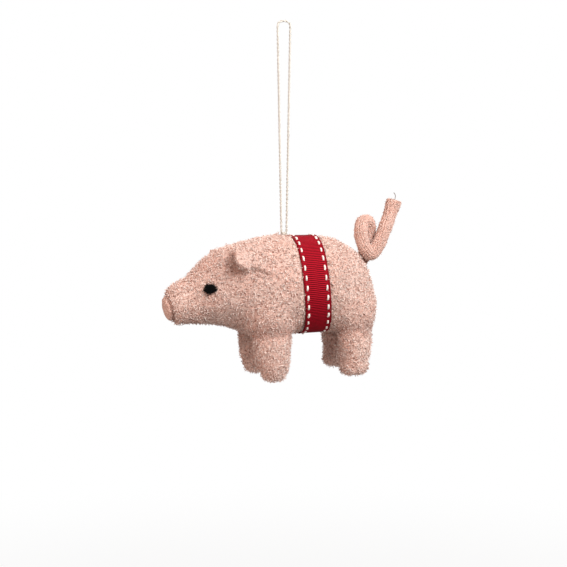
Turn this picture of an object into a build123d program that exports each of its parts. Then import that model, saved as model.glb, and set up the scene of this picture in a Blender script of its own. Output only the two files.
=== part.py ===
"""Stuffed wool pig ornament on a twine loop, with a stitched grosgrain ribbon round its middle.

Millimetres. +Z is up, the snout points along -X and the pig's left side is -Y. The origin is the
inside of the loop's top, where a hook bears, so the pig hangs below it with its back at BACK.
"""

from build123d import *
from math import cos, pi, radians, sin, sqrt, tan
import os

# Twine loop, as wide as the hook it hangs from at the top and closing to the knot at its feet
TWINE_DIAMETER = 1.1
LOOP_HEIGHT = 117.0
LOOP_TOP_WIDTH = 7.4
LOOP_FOOT_WIDTH = 3.0

# Knot under the loop and the thread wraps that hold it, round balls on one centre in the back seam
KNOT_RISE = 1.0
KNOT_EDGE = 0.13
WRAP_THICKNESS = 0.5
WRAP_RIM_DROP = 0.3
SWIVEL_GAP = 0.25
TURN_GAP = 0.05

# Wool cloth, fill and the clearances between sewn pieces
SKIN = 1.6
FILL_GAP = 0.5
SEAT_GAP = 0.15

# Body, from the neck seam ahead of the loop to the rump behind it; drops are below the back
NECK_AHEAD = 24.0
NECK_WIDTH = 45.5
NECK_TOP_DROP = 2.4
NECK_BOTTOM_DROP = 54.3
SHOULDER_AHEAD = 12.0
SHOULDER_WIDTH = 49.0
SHOULDER_TOP_DROP = 0.5
BODY_WIDTH = 51.0
BODY_HEIGHT = 55.5
BARREL_BEHIND = 14.0
BARREL_TOP_DROP = 0.9
RUMP_BEHIND = 52.2
RUMP_DROP = 42.0
RUMP_FULLNESS = 2.45
UNDERSIDE_FULLNESS = 3.2
RUMP_ANGLES = (22.0, 42.0, 58.0, 71.0, 81.0)

# Head, from the neck seam to the flat end of the muzzle, which leans to face a little downward
NAPE_AHEAD = 33.0
NAPE_WIDTH = 41.5
NAPE_TOP_DROP = 5.1
NAPE_BOTTOM_DROP = 51.4
CHEEK_AHEAD = 42.0
CHEEK_WIDTH = 37.0
CHEEK_TOP_DROP = 8.6
CHEEK_BOTTOM_DROP = 49.4
BROW_AHEAD = 50.0
BROW_WIDTH = 32.0
BROW_TOP_DROP = 14.6
BROW_BOTTOM_DROP = 48.4
BRIDGE_AHEAD = 58.5
BRIDGE_WIDTH = 26.5
BRIDGE_TOP_DROP = 23.2
BRIDGE_BOTTOM_DROP = 48.6
MUZZLE_AHEAD = 66.0
MUZZLE_WIDTH = 21.5
MUZZLE_HEIGHT = 21.2
MUZZLE_DROP = 38.9
MUZZLE_LEAN = 12.5
MUZZLE_ROUND = 2.4
SNOUT_WIDTH = 16.0
SNOUT_HEIGHT = 15.4
SNOUT_THICKNESS = 2.2
SNOUT_EDGE = 0.9

# Legs, set into the belly; the front pair reaches lower than the rear pair
FRONT_LEG_AHEAD = 11.5
REAR_LEG_BEHIND = 37.0
FRONT_LEG_LENGTH = 24.2
REAR_LEG_LENGTH = 22.5
LEG_SPACING = 30.0
LEG_ROOT_SPACING = 25.0
LEG_ROOT_RISE = 14.0
LEG_ROOT_SIZE = 17.0
THIGH_DROP = 2.0
FRONT_THIGH = 23.2
REAR_THIGH = 20.5
THIGH_CROSSWISE = 20.0
SHIN_RISE = 10.0
SHIN_TAPER = 2.4
SHIN_CROSSWISE = 18.8
ANKLE_RISE = 3.5
ANKLE_SIZE = 16.0
SOLE_SIZE = 10.0

# Ears, cupped leaves that stand out from the sides of the head on their sewn edge
EAR_AHEAD = 27.5
EAR_ROUND = 47.0
EAR_LEAN = 22.0
EAR_SWEEP = 42.0
EAR_BASE = 14.5
EAR_LENGTH = 10.5
EAR_TIP_SHIFT = 4.0
EAR_TIP_RADIUS = 2.5
EAR_FRONT_BOW = 2.6
EAR_LOWER_BOW = 1.6
EAR_THICKNESS = 2.0
EAR_CUP_RADIUS = 20.0
EAR_GAP = 0.5

# Felted eyes on the sides of the head
EYE_AHEAD = 47.7
EYE_DROP = 26.8
EYE_LENGTH = 7.2
EYE_HEIGHT = 5.8
EYE_THICKNESS = 1.4
EYE_EDGE = 0.8
EYE_TILT = 12.0

# Rolled tail: up from its root, over, down beside the rise, round below and up to the cut tip
TAIL_DIAMETER = 6.5
TAIL_ROOT_ANGLE = 36.5
TAIL_GAP = 0.35
TAIL_STAGGER = 3.6
CURL_WIDTH = 8.3
CURL_LEAN = 3.4
CURL_RISE = 21.5
CURL_KNEE_RISE = 8.5
CURL_DIP_BEHIND = 3.6
CURL_DIP = 0.4
TIP_BEHIND = 16.0
TIP_RISE = 33.5
TAIL_THREAD_DIAMETER = 0.5
TAIL_THREAD_GAP = 0.2
TAIL_THREAD_END = 4.0

# Ribbon belt with a row of saddle stitches along each edge
RIBBON_WIDTH = 15.0
RIBBON_THICKNESS = 0.5
RIBBON_GAP = 0.2
RIBBON_CLEAR = 0.35
RIBBON_LEAN = 3.5
STITCH_LENGTH = 2.8
STITCH_WIDTH = 1.0
STITCH_HEIGHT = 0.4
STITCH_PITCH = 5.6
STITCH_INSET = 2.2
STITCH_GAP = 0.1

# Heights worked out from the sizes above
BACK = -LOOP_HEIGHT
BELLY = BACK - BODY_HEIGHT
CORNER = sqrt(0.5)
BEND_SHARE = 0.45

os.makedirs("parts", exist_ok=True)


def oval(width, height):
    """Oval outline of four arcs, each under half a circle, as a flat face."""
    half = width / 2
    up = height / 2
    with BuildSketch() as face:
        with BuildLine():
            ThreePointArc((half * CORNER, up * CORNER), (0, up), (-half * CORNER, up * CORNER))
            ThreePointArc((-half * CORNER, up * CORNER), (-half, 0), (-half * CORNER, -up * CORNER))
            ThreePointArc((-half * CORNER, -up * CORNER), (0, -up), (half * CORNER, -up * CORNER))
            ThreePointArc((half * CORNER, -up * CORNER), (half, 0), (half * CORNER, up * CORNER))
        make_face()
    return face.sketch


def upright(x, height, lean=0.0):
    """Plane across the pig at x and a height, its top leaning forward by lean degrees."""
    facing = (cos(radians(lean)), 0, sin(radians(lean)))
    return Plane(origin=(x, 0, height), x_dir=(0, 1, 0), z_dir=facing)


def stuffed_form(sections):
    """Loft a swelling form through ovals given as plane, width and height."""
    with BuildPart() as form:
        for plane, width, height in sections:
            with BuildSketch(plane):
                add(oval(width, height))
        loft()
    return form.part


def across(x, top_drop, bottom_drop, width, inset):
    """Upright section at x, given by its drops below the back, drawn in by inset."""
    plane = upright(x, BACK - (top_drop + bottom_drop) / 2)
    return plane, width - 2 * inset, bottom_drop - top_drop - 2 * inset


def neck_section(inset):
    """Section at the neck seam, which body and head share."""
    return across(-NECK_AHEAD, NECK_TOP_DROP, NECK_BOTTOM_DROP, NECK_WIDTH, inset)


def body_form(inset):
    """Body from the neck seam to the rump, drawn in by inset all round but open at the neck."""
    shoulder_bottom = BODY_HEIGHT - SHOULDER_TOP_DROP
    sections = [
        neck_section(inset),
        across(-SHOULDER_AHEAD, SHOULDER_TOP_DROP, shoulder_bottom, SHOULDER_WIDTH, inset),
        across(0, 0, BODY_HEIGHT, BODY_WIDTH, inset),
        across(BARREL_BEHIND, BARREL_TOP_DROP, BODY_HEIGHT, BODY_WIDTH, inset),
    ]
    reach = RUMP_BEHIND - BARREL_BEHIND - inset
    for angle in RUMP_ANGLES:
        along = sin(radians(angle)) ** (2 / RUMP_FULLNESS)
        shrink = cos(radians(angle)) ** (2 / RUMP_FULLNESS)
        under = cos(radians(angle)) ** (2 / UNDERSIDE_FULLNESS)
        top = (RUMP_DROP - BARREL_TOP_DROP - inset) * shrink
        bottom = (BODY_HEIGHT - RUMP_DROP - inset) * under
        plane = upright(BARREL_BEHIND + reach * along, BACK - RUMP_DROP + (top - bottom) / 2)
        sections.append((plane, (BODY_WIDTH - 2 * inset) * shrink, top + bottom))
    return stuffed_form(sections)


def muzzle_plane(depth):
    """Plane across the muzzle, depth behind its flat end."""
    return upright(-MUZZLE_AHEAD, BACK - MUZZLE_DROP, MUZZLE_LEAN).offset(depth)


def head_form(inset):
    """Head from the neck seam to the muzzle, drawn in by inset all round but open at the neck."""
    muzzle_width = MUZZLE_WIDTH - 2 * inset
    muzzle_height = MUZZLE_HEIGHT - 2 * inset
    sections = (
        neck_section(inset),
        across(-NAPE_AHEAD, NAPE_TOP_DROP, NAPE_BOTTOM_DROP, NAPE_WIDTH, inset),
        across(-CHEEK_AHEAD, CHEEK_TOP_DROP, CHEEK_BOTTOM_DROP, CHEEK_WIDTH, inset),
        across(-BROW_AHEAD, BROW_TOP_DROP, BROW_BOTTOM_DROP, BROW_WIDTH, inset),
        across(-BRIDGE_AHEAD, BRIDGE_TOP_DROP, BRIDGE_BOTTOM_DROP, BRIDGE_WIDTH, inset),
        (muzzle_plane(MUZZLE_ROUND + inset), muzzle_width, muzzle_height),
        (muzzle_plane(inset), muzzle_width - 2 * MUZZLE_ROUND, muzzle_height - 2 * MUZZLE_ROUND),
    )
    return stuffed_form(sections)


def leg_form(x, side, length, thigh, inset):
    """Leg from inside the body down to its rounded sole, drawn in by inset."""
    sole = BELLY - length
    levels = (
        (BELLY + LEG_ROOT_RISE, LEG_ROOT_SPACING, LEG_ROOT_SIZE, LEG_ROOT_SIZE),
        (BELLY - THIGH_DROP, LEG_SPACING, thigh, THIGH_CROSSWISE),
        (sole + SHIN_RISE, LEG_SPACING, thigh - SHIN_TAPER, SHIN_CROSSWISE),
        (sole + ANKLE_RISE, LEG_SPACING, ANKLE_SIZE, ANKLE_SIZE),
        (sole + inset, LEG_SPACING, SOLE_SIZE, SOLE_SIZE),
    )
    sections = []
    for height, spacing, lengthwise, crosswise in levels:
        plane = Plane(origin=(x, side * spacing / 2, height))
        sections.append((plane, lengthwise - 2 * inset, crosswise - 2 * inset))
    return stuffed_form(sections)


def surface_point(form, origin, direction):
    """Point and outward normal where a ray from inside a form leaves it."""
    hits = form.find_intersection_points(Axis(origin, direction))
    point, normal = max(hits, key=lambda hit: (hit[0] - Vector(origin)).dot(Vector(direction)))
    return point, normal


body_outside = body_form(0)
head_outside = head_form(0)

# Twine loop: two strands up from the knot and round the hook
loop_top = TWINE_DIAMETER / 2
loop_foot = BACK + KNOT_RISE + TURN_GAP
LOOP_ROUTE = (
    (-LOOP_FOOT_WIDTH / 2, 0, loop_foot),
    (-LOOP_TOP_WIDTH / 2, 0, loop_top),
    (LOOP_TOP_WIDTH / 2, 0, loop_top),
    (LOOP_FOOT_WIDTH / 2, 0, loop_foot),
)
strand = Vector(LOOP_ROUTE[1]) - Vector(LOOP_ROUTE[0])
loop_turn = strand.get_angle(Vector(1, 0, 0))
loop_radius = BEND_SHARE * LOOP_TOP_WIDTH / tan(radians(loop_turn / 2))
with BuildPart() as twine_loop:
    with BuildLine() as loop_path:
        FilletPolyline(*LOOP_ROUTE, radius=[loop_radius, loop_radius])
    with BuildSketch(Plane(origin=loop_path.line @ 0, z_dir=loop_path.line % 0)):
        Circle(TWINE_DIAMETER / 2)
    sweep()
twine_loop.part.label = "twine_loop"
export_step(twine_loop.part, "parts/twine_loop.step")
loop_length = loop_path.wire().length
tube_volume = loop_length * pi * TWINE_DIAMETER**2 / 4
print(f"twine bend radii {loop_radius:.2f} mm twice, length {loop_length:.1f} mm")
print(f"twine volume {twine_loop.part.volume:.2f} mm3 against {tube_volume:.2f} mm3 for its length")

# Knot: a ball with a flat top on which the two strands stand
knot_centre = (0, 0, BACK)
knot_top = (LOOP_FOOT_WIDTH + TWINE_DIAMETER) / 2 + KNOT_EDGE
knot_radius = sqrt(knot_top**2 + KNOT_RISE**2)
with BuildPart() as loop_knot:
    with Locations(knot_centre):
        Sphere(knot_radius)
    split(bisect_by=Plane.XY.offset(BACK + KNOT_RISE), keep=Keep.BOTTOM)
loop_knot.part.label = "loop_knot"
export_step(loop_knot.part, "parts/loop_knot.step")

# Thread wraps: a cup round the lower half of the knot
wrap_bore = knot_radius + SWIVEL_GAP
with BuildPart() as anchor_wraps:
    with Locations(knot_centre):
        Sphere(wrap_bore + WRAP_THICKNESS)
        Sphere(wrap_bore, mode=Mode.SUBTRACT)
    split(bisect_by=Plane.XY.offset(BACK - WRAP_RIM_DROP), keep=Keep.BOTTOM)
anchor_wraps.part.label = "anchor_wraps"
export_step(anchor_wraps.part, "parts/anchor_wraps.step")
pocket_radius = wrap_bore + WRAP_THICKNESS + SWIVEL_GAP

# Body: wool skin and the fill inside it, with the pocket that takes the knot
body_inside = body_form(SKIN)
with BuildPart() as body_cavity:
    add(body_inside)
    extrude(body_cavity.faces().sort_by(Axis.X)[0], amount=SKIN)
with BuildPart() as body_skin:
    add(body_outside)
    add(body_cavity.part, mode=Mode.SUBTRACT)
    with Locations(knot_centre):
        Sphere(pocket_radius, mode=Mode.SUBTRACT)
body_skin.part.label = "body_skin"
export_step(body_skin.part, "parts/body_skin.step")

body_fill_form = body_form(SKIN + FILL_GAP)
with BuildPart() as body_fill:
    add(body_fill_form)
    with Locations(knot_centre):
        Sphere(pocket_radius, mode=Mode.SUBTRACT)
body_fill.part.label = "body_fill"
export_step(body_fill.part, "parts/body_fill.step")

# Head: wool skin and its fill
head_inside = head_form(SKIN)
with BuildPart() as head_cavity:
    add(head_inside)
    extrude(head_cavity.faces().sort_by(Axis.X)[-1], amount=SKIN)
with BuildPart() as head_skin:
    add(head_outside)
    add(head_cavity.part, mode=Mode.SUBTRACT)
head_skin.part.label = "head_skin"
export_step(head_skin.part, "parts/head_skin.step")

head_fill_form = head_form(SKIN + FILL_GAP)
with BuildPart() as head_fill:
    add(head_fill_form)
head_fill.part.label = "head_fill"
export_step(head_fill.part, "parts/head_fill.step")

# Snout disc sewn on the flat end of the muzzle
with BuildPart() as snout_disc:
    with BuildSketch(muzzle_plane(0)):
        add(oval(SNOUT_WIDTH, SNOUT_HEIGHT))
    extrude(amount=-SNOUT_THICKNESS)
    rim = snout_disc.faces().sort_by(Axis(muzzle_plane(0).origin, muzzle_plane(0).z_dir))[0]
    fillet(rim.edges(), SNOUT_EDGE)
snout_disc.part.label = "snout_disc"
export_step(snout_disc.part, "parts/snout_disc.step")

# Legs: a wool sleeve each, cut where it meets the body, and its fill
body_clear = body_form(-SEAT_GAP)
LEGS = (
    ("front_left", -FRONT_LEG_AHEAD, -1, FRONT_LEG_LENGTH, FRONT_THIGH),
    ("front_right", -FRONT_LEG_AHEAD, 1, FRONT_LEG_LENGTH, FRONT_THIGH),
    ("rear_left", REAR_LEG_BEHIND, -1, REAR_LEG_LENGTH, REAR_THIGH),
    ("rear_right", REAR_LEG_BEHIND, 1, REAR_LEG_LENGTH, REAR_THIGH),
)
for leg_name, *leg_sizes in LEGS:
    leg_outside = leg_form(*leg_sizes, 0)
    leg_inside = leg_form(*leg_sizes, SKIN)
    leg_fill_form = leg_form(*leg_sizes, SKIN + FILL_GAP)
    with BuildPart() as leg_skin:
        add(leg_outside)
        add(leg_inside, mode=Mode.SUBTRACT)
        add(body_clear, mode=Mode.SUBTRACT)
    leg_skin.part.label = f"{leg_name}_leg_skin"
    export_step(leg_skin.part, f"parts/{leg_name}_leg_skin.step")
    with BuildPart() as leg_fill:
        add(leg_fill_form)
        add(body_clear, mode=Mode.SUBTRACT)
    leg_fill.part.label = f"{leg_name}_leg_fill"
    export_step(leg_fill.part, f"parts/{leg_name}_leg_fill.step")

# Ears: cupped leaves on the sides of the head, hinged on their sewn edge
head_middle = BACK - (NECK_TOP_DROP + NECK_BOTTOM_DROP) / 2
for side_name, side in (("left", -1), ("right", 1)):
    ray = (0, side * sin(radians(EAR_ROUND)), cos(radians(EAR_ROUND)))
    ear_seat, ear_normal = surface_point(head_outside, (-EAR_AHEAD, 0, head_middle), ray)
    down_side = Vector(0, side * cos(radians(EAR_ROUND)), -sin(radians(EAR_ROUND)))
    along = down_side * cos(radians(EAR_LEAN)) + Vector(1, 0, 0) * sin(radians(EAR_LEAN))
    outward = (ear_normal - along * ear_normal.dot(along)).normalized()
    facing = along.cross(outward)
    forward = facing if facing.X < 0 else facing * -1
    stand = outward * cos(radians(EAR_SWEEP)) + forward * sin(radians(EAR_SWEEP))
    ear_root = ear_seat + ear_normal * (EAR_GAP + EAR_THICKNESS / 2)
    ear_plane = Plane(origin=ear_root, x_dir=along, z_dir=along.cross(stand))
    cup_plane = Plane(origin=ear_root, x_dir=along, z_dir=stand)
    cup_middle = EAR_CUP_RADIUS if cup_plane.y_dir.X < 0 else -EAR_CUP_RADIUS
    lower = (EAR_BASE / 2, 0)
    upper = (-EAR_BASE / 2, 0)
    tip = (EAR_TIP_SHIFT, EAR_LENGTH)
    with BuildPart() as ear:
        with BuildSketch(cup_plane):
            with Locations((0, cup_middle)):
                Circle(EAR_CUP_RADIUS + EAR_THICKNESS / 2)
                Circle(EAR_CUP_RADIUS - EAR_THICKNESS / 2, mode=Mode.SUBTRACT)
        extrude(amount=EAR_LENGTH)
        with BuildSketch(ear_plane) as leaf:
            with BuildLine():
                Line(upper, lower)
                SagittaArc(lower, tip, -EAR_LOWER_BOW)
                SagittaArc(tip, upper, -EAR_FRONT_BOW)
            make_face()
            fillet(leaf.vertices().sort_by(Axis.Y)[-1], EAR_TIP_RADIUS)
        extrude(amount=EAR_CUP_RADIUS / 2, both=True, mode=Mode.INTERSECT)
    ear.part.label = f"{side_name}_ear"
    export_step(ear.part, f"parts/{side_name}_ear.step")
    print(side_name, "ear hinge at", tuple(ear_root), "along", tuple(along))

# Eyes: felted ovals on the sides of the head
level = Vector(1, 0, 0).rotate(Axis.Y, EYE_TILT)
for side_name, side in (("left", -1), ("right", 1)):
    eye_seat, eye_normal = surface_point(head_outside, (-EYE_AHEAD, 0, BACK - EYE_DROP), (0, side, 0))
    eye_along = (level - eye_normal * level.dot(eye_normal)).normalized()
    eye_plane = Plane(origin=eye_seat + eye_normal * SEAT_GAP, x_dir=eye_along, z_dir=eye_normal)
    with BuildPart() as eye:
        with BuildSketch(eye_plane):
            add(oval(EYE_LENGTH, EYE_HEIGHT))
        extrude(amount=EYE_THICKNESS)
        eye_front = eye.faces().sort_by(Axis(eye_plane.origin, eye_plane.z_dir))[-1]
        fillet(eye_front.edges(), EYE_EDGE)
    eye.part.label = f"{side_name}_eye"
    export_step(eye.part, f"parts/{side_name}_eye.step")

# Tail: rolled cloth on a curled route, with a ball root and the thread that gathers it
rump_middle = (BARREL_BEHIND, TAIL_STAGGER, BACK - RUMP_DROP)
tail_ray = (cos(radians(TAIL_ROOT_ANGLE)), 0, sin(radians(TAIL_ROOT_ANGLE)))
tail_seat, tail_normal = surface_point(body_outside, rump_middle, tail_ray)
tail_root = tail_seat + tail_normal * (TAIL_DIAMETER / 2 + TAIL_GAP)
curl_route = (
    tail_root,
    tail_root + Vector(CURL_LEAN, 0, CURL_RISE),
    tail_root + Vector(CURL_LEAN - CURL_WIDTH, -TAIL_STAGGER, CURL_RISE),
    tail_root + Vector(CURL_LEAN - CURL_WIDTH, -2 * TAIL_STAGGER, CURL_KNEE_RISE),
    tail_root + Vector(CURL_DIP_BEHIND, -2 * TAIL_STAGGER, -CURL_DIP),
    tail_root + Vector(TIP_BEHIND, -TAIL_STAGGER, TIP_RISE),
)
curl_radii = []
for before, corner, after in zip(curl_route, curl_route[1:], curl_route[2:]):
    turn = (corner - before).get_angle(after - corner)
    shorter = min((corner - before).length, (after - corner).length)
    curl_radii.append(BEND_SHARE * shorter / tan(radians(turn / 2)))
with BuildPart() as tail_roll:
    with BuildLine() as curl:
        FilletPolyline(*curl_route, radius=curl_radii)
    with BuildSketch(Plane(origin=curl.line @ 0, z_dir=curl.line % 0)):
        Circle(TAIL_DIAMETER / 2)
    sweep()
    with Locations(tail_root):
        Sphere(TAIL_DIAMETER / 2)
    with BuildSketch(Plane(origin=curl.line @ 0, z_dir=curl.line % 0)):
        Circle(TAIL_THREAD_DIAMETER / 2 + TAIL_THREAD_GAP)
    sweep(path=curl.line, mode=Mode.SUBTRACT)
print("tail bend radii", [round(radius, 2) for radius in curl_radii])
tail_roll.part.label = "tail_roll"
export_step(tail_roll.part, "parts/tail_roll.step")

tail_end = curl.line @ 1 + (curl.line % 1) * TAIL_THREAD_END
with BuildPart() as tail_thread:
    with BuildLine() as thread_path:
        add(curl.line)
        Line(curl.line @ 1, tail_end)
    with BuildSketch(Plane(origin=curl.line @ 0, z_dir=curl.line % 0)):
        Circle(TAIL_THREAD_DIAMETER / 2)
    sweep()
tail_thread.part.label = "tail_thread"
export_step(tail_thread.part, "parts/tail_thread.step")

# Ribbon: a band round the body between two leaning planes
ribbon_outside = body_form(-RIBBON_GAP - RIBBON_THICKNESS)
ribbon_inside = body_form(-RIBBON_GAP)
ribbon_front = pocket_radius + RIBBON_CLEAR
ribbon_plane = upright(ribbon_front, BACK, RIBBON_LEAN).offset(RIBBON_WIDTH / 2)
with BuildPart() as ribbon_band:
    add(ribbon_outside)
    add(ribbon_inside, mode=Mode.SUBTRACT)
    split(bisect_by=ribbon_plane.offset(-RIBBON_WIDTH / 2), keep=Keep.TOP)
    split(bisect_by=ribbon_plane.offset(RIBBON_WIDTH / 2), keep=Keep.BOTTOM)
ribbon_band.part.label = "ribbon_band"
export_step(ribbon_band.part, "parts/ribbon_band.step")

# Saddle stitches: one row inside each edge of the ribbon
stitch_base = body_form(-RIBBON_GAP - RIBBON_THICKNESS - STITCH_GAP)
for row_name, row_side in (("front", -1), ("rear", 1)):
    row_plane = ribbon_plane.offset(row_side * (RIBBON_WIDTH / 2 - STITCH_INSET))
    with BuildPart() as row_slice:
        add(stitch_base)
        split(bisect_by=row_plane, keep=Keep.TOP)
    row_face = row_slice.faces().sort_by(Axis(row_plane.origin, row_plane.z_dir))[0]
    row_wire = row_face.outer_wire()
    count = round(row_wire.length / STITCH_PITCH)
    with BuildPart() as stitch_row:
        for number in range(count):
            run = row_wire % (number / count)
            out = run.cross(row_plane.z_dir)
            away = (row_wire @ (number / count)) - row_face.center()
            up = out if out.dot(away) > 0 else out * -1
            with BuildSketch(Plane(origin=row_wire @ (number / count), x_dir=run, z_dir=up)):
                SlotOverall(STITCH_LENGTH, STITCH_WIDTH)
        extrude(amount=STITCH_HEIGHT)
    stitch_row.part.label = f"{row_name}_stitch_row"
    export_step(stitch_row.part, f"parts/{row_name}_stitch_row.step")
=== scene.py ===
"""Dressed scene of a stuffed wool pig ornament that hangs from a loop of twine.

Metres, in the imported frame: +Z is up, the snout points along -X, the pig's left side is -Y and
the origin is the inside of the loop's top. Sizes in the classes are millimetres.
"""

import logging
import math
from dataclasses import dataclass, field, replace
from enum import Enum

import bpy
import numpy as np
from bpy.types import Material, Node, NodeSocket, NodeTree, Object
from mathutils import Matrix, Vector, noise
from mathutils.bvhtree import BVHTree


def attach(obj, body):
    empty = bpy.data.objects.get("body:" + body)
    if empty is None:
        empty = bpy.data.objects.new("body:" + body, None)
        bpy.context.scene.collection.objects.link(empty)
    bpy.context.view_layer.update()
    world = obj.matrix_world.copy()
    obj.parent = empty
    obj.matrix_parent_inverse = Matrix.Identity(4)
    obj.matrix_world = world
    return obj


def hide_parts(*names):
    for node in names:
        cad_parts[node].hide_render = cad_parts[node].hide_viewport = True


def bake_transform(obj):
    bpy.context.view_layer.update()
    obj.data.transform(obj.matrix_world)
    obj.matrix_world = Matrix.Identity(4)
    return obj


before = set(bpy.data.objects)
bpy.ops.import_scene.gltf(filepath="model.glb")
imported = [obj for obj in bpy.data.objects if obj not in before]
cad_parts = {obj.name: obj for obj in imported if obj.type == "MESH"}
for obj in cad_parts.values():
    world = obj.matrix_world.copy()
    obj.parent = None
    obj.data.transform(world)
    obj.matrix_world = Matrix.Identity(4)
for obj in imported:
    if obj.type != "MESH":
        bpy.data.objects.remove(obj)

log = logging.getLogger("pig_ornament")
MM = 0.001
BACK = -117.0
BELLY = -172.5

Triple = tuple[float, float, float]
Colour = tuple[float, float, float, float]
Faces = list[tuple[int, ...]]


class Side(Enum):
    """Side of the pig, with the sign of its Y."""

    LEFT = -1
    RIGHT = 1


def linear(code: str) -> Colour:
    """Turn an sRGB hex value into a linear colour.

    Args:
        code: Hex value such as "#E8C4B6".

    Returns:
        Linear red, green and blue, with alpha 1.
    """
    parts = [int(code[start : start + 2], 16) / 255 for start in (1, 3, 5)]
    red, green, blue = (
        part / 12.92 if part <= 0.04045 else ((part + 0.055) / 1.055) ** 2.4 for part in parts
    )
    return red, green, blue, 1.0


def put(tree: NodeTree, kind: str, inputs: dict | None = None, **settings: object) -> Node:
    """Add one node with its settings and links.

    Args:
        tree: Tree that gets the node.
        kind: Blender's type name for the node.
        inputs: Value, socket or node for each input, by name or number; a node gives its
            first output in use.
        settings: Properties of the node.

    Returns:
        The new node.
    """
    node = tree.nodes.new(kind)
    for name, value in settings.items():
        setattr(node, name, value)
    for key, value in (inputs or {}).items():
        if isinstance(value, Node):
            value = next(output for output in value.outputs if output.enabled)
        if isinstance(value, NodeSocket):
            tree.links.new(value, node.inputs[key])
        else:
            node.inputs[key].default_value = value
    return node


def blank_material(name: str) -> tuple[Material, NodeTree]:
    """Make a material with an empty node tree.

    Args:
        name: Name of the finish.

    Returns:
        The material and its tree.
    """
    material = bpy.data.materials.new(name)
    material.use_nodes = True
    material.node_tree.nodes.clear()
    return material, material.node_tree


def new_piece(
    name: str,
    points: np.ndarray,
    faces: Faces,
    material: Material,
    edges: list[tuple[int, int]] | None = None,
) -> Object:
    """Make a mesh object at the origin.

    Args:
        name: Name of the piece.
        points: Vertices in metres.
        faces: Vertex numbers of each face.
        material: Finish of the piece.
        edges: Loose edges, for a path.

    Returns:
        The new object, linked to the scene.
    """
    mesh = bpy.data.meshes.new(name)
    mesh.from_pydata([tuple(point) for point in points], edges or [], faces)
    mesh.materials.append(material)
    mesh.shade_smooth()
    piece = bpy.data.objects.new(name, mesh)
    bpy.context.scene.collection.objects.link(piece)
    return piece


def positions(piece: Object) -> np.ndarray:
    """Read a piece's vertices.

    Args:
        piece: Object to read.

    Returns:
        One point for each vertex.
    """
    flat = np.zeros(len(piece.data.vertices) * 3)
    piece.data.vertices.foreach_get("co", flat)
    return flat.reshape(-1, 3)


def normals(piece: Object) -> np.ndarray:
    """Read a piece's vertex normals.

    Args:
        piece: Object to read.

    Returns:
        One vector for each vertex.
    """
    flat = np.zeros(len(piece.data.vertices) * 3, np.float32)
    piece.data.vertex_normals.foreach_get("vector", flat)
    return flat.reshape(-1, 3).astype(float)


def move_to(piece: Object, points: np.ndarray) -> None:
    """Set a piece's vertices to an array of points."""
    piece.data.vertices.foreach_set("co", points.astype(np.float32).ravel())
    piece.data.update()


def bake(piece: Object) -> Object:
    """Turn a piece's live modifiers into plain mesh.

    Args:
        piece: Object whose modifiers are applied.

    Returns:
        The same object, with no modifiers.
    """
    graph = bpy.context.evaluated_depsgraph_get()
    finished = bpy.data.meshes.new_from_object(piece.evaluated_get(graph), depsgraph=graph)
    piece.modifiers.clear()
    old = piece.data
    piece.data = finished
    finished.name = piece.name
    bpy.data.meshes.remove(old)
    finished.shade_smooth()
    return piece


def smoothstep(low: float, high: float, value: np.ndarray) -> np.ndarray:
    """Ease from 0 at low to 1 at high.

    Args:
        low: Value that gives 0.
        high: Value that gives 1.
        value: Values to ease.

    Returns:
        The eased values.
    """
    share = np.clip((value - low) / (high - low), 0, 1)
    return share * share * (3 - 2 * share)


def spline_rows(rows: np.ndarray, step: float) -> np.ndarray:
    """Fill in rows of sizes along a natural cubic spline.

    Args:
        rows: One row of sizes for each section, in order.
        step: Spacing of the filled rows, in the rows' own unit.

    Returns:
        Rows about step apart that pass through the given ones.
    """
    spans = np.linalg.norm(np.diff(rows, axis=0), axis=1)
    at = np.concatenate([[0.0], np.cumsum(spans)])
    count = len(rows)
    system = np.eye(count)
    right = np.zeros_like(rows)
    for row in range(1, count - 1):
        before, after = spans[row - 1], spans[row]
        system[row, row - 1 : row + 2] = before, 2 * (before + after), after
        right[row] = 6 * (
            (rows[row + 1] - rows[row]) / after - (rows[row] - rows[row - 1]) / before
        )
    bends = np.linalg.solve(system, right)
    places = np.linspace(0, at[-1], max(int(at[-1] / step), 2))
    spot = np.clip(np.searchsorted(at, places, side="right") - 1, 0, count - 2)
    width = spans[spot][:, None]
    ahead = (at[spot + 1] - places)[:, None]
    behind = (places - at[spot])[:, None]
    return (
        bends[spot] * ahead**3 / (6 * width)
        + bends[spot + 1] * behind**3 / (6 * width)
        + (rows[spot] / width - bends[spot] * width / 6) * ahead
        + (rows[spot + 1] / width - bends[spot + 1] * width / 6) * behind
    )


def ring_faces(rings: int, around: int) -> Faces:
    """Faces of a closed skin of rings, with a middle vertex for each end after the last ring.

    Args:
        rings: Number of rings.
        around: Vertices in each ring.

    Returns:
        Vertex numbers of each face.
    """
    faces: Faces = []
    for ring in range(rings - 1):
        for step in range(around):
            here, there = ring * around + step, ring * around + (step + 1) % around
            faces.append((here, there, there + around, here + around))
    first, last = rings * around, rings * around + 1
    for step in range(around):
        onward = (step + 1) % around
        faces.append((first, onward, step))
        faces.append((last, (rings - 1) * around + step, (rings - 1) * around + onward))
    return faces


def grid_faces(rows: int, columns: int) -> Faces:
    """Faces of a sheet of vertices given row by row.

    Args:
        rows: Number of rows.
        columns: Vertices in each row.

    Returns:
        Vertex numbers of each face.
    """
    corners = (0, 1, columns + 1, columns)
    return [
        tuple(row * columns + column + corner for corner in corners)
        for row in range(rows - 1)
        for column in range(columns - 1)
    ]


def refine(piece: Object, levels: int = 1) -> Object:
    """Split a piece's faces smoothly.

    Args:
        piece: Object to refine.
        levels: How often each face is split.

    Returns:
        The same object with the finer mesh.
    """
    finer = piece.modifiers.new("finer", "SUBSURF")
    finer.levels = levels
    finer.render_levels = levels
    return bake(piece)


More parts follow.
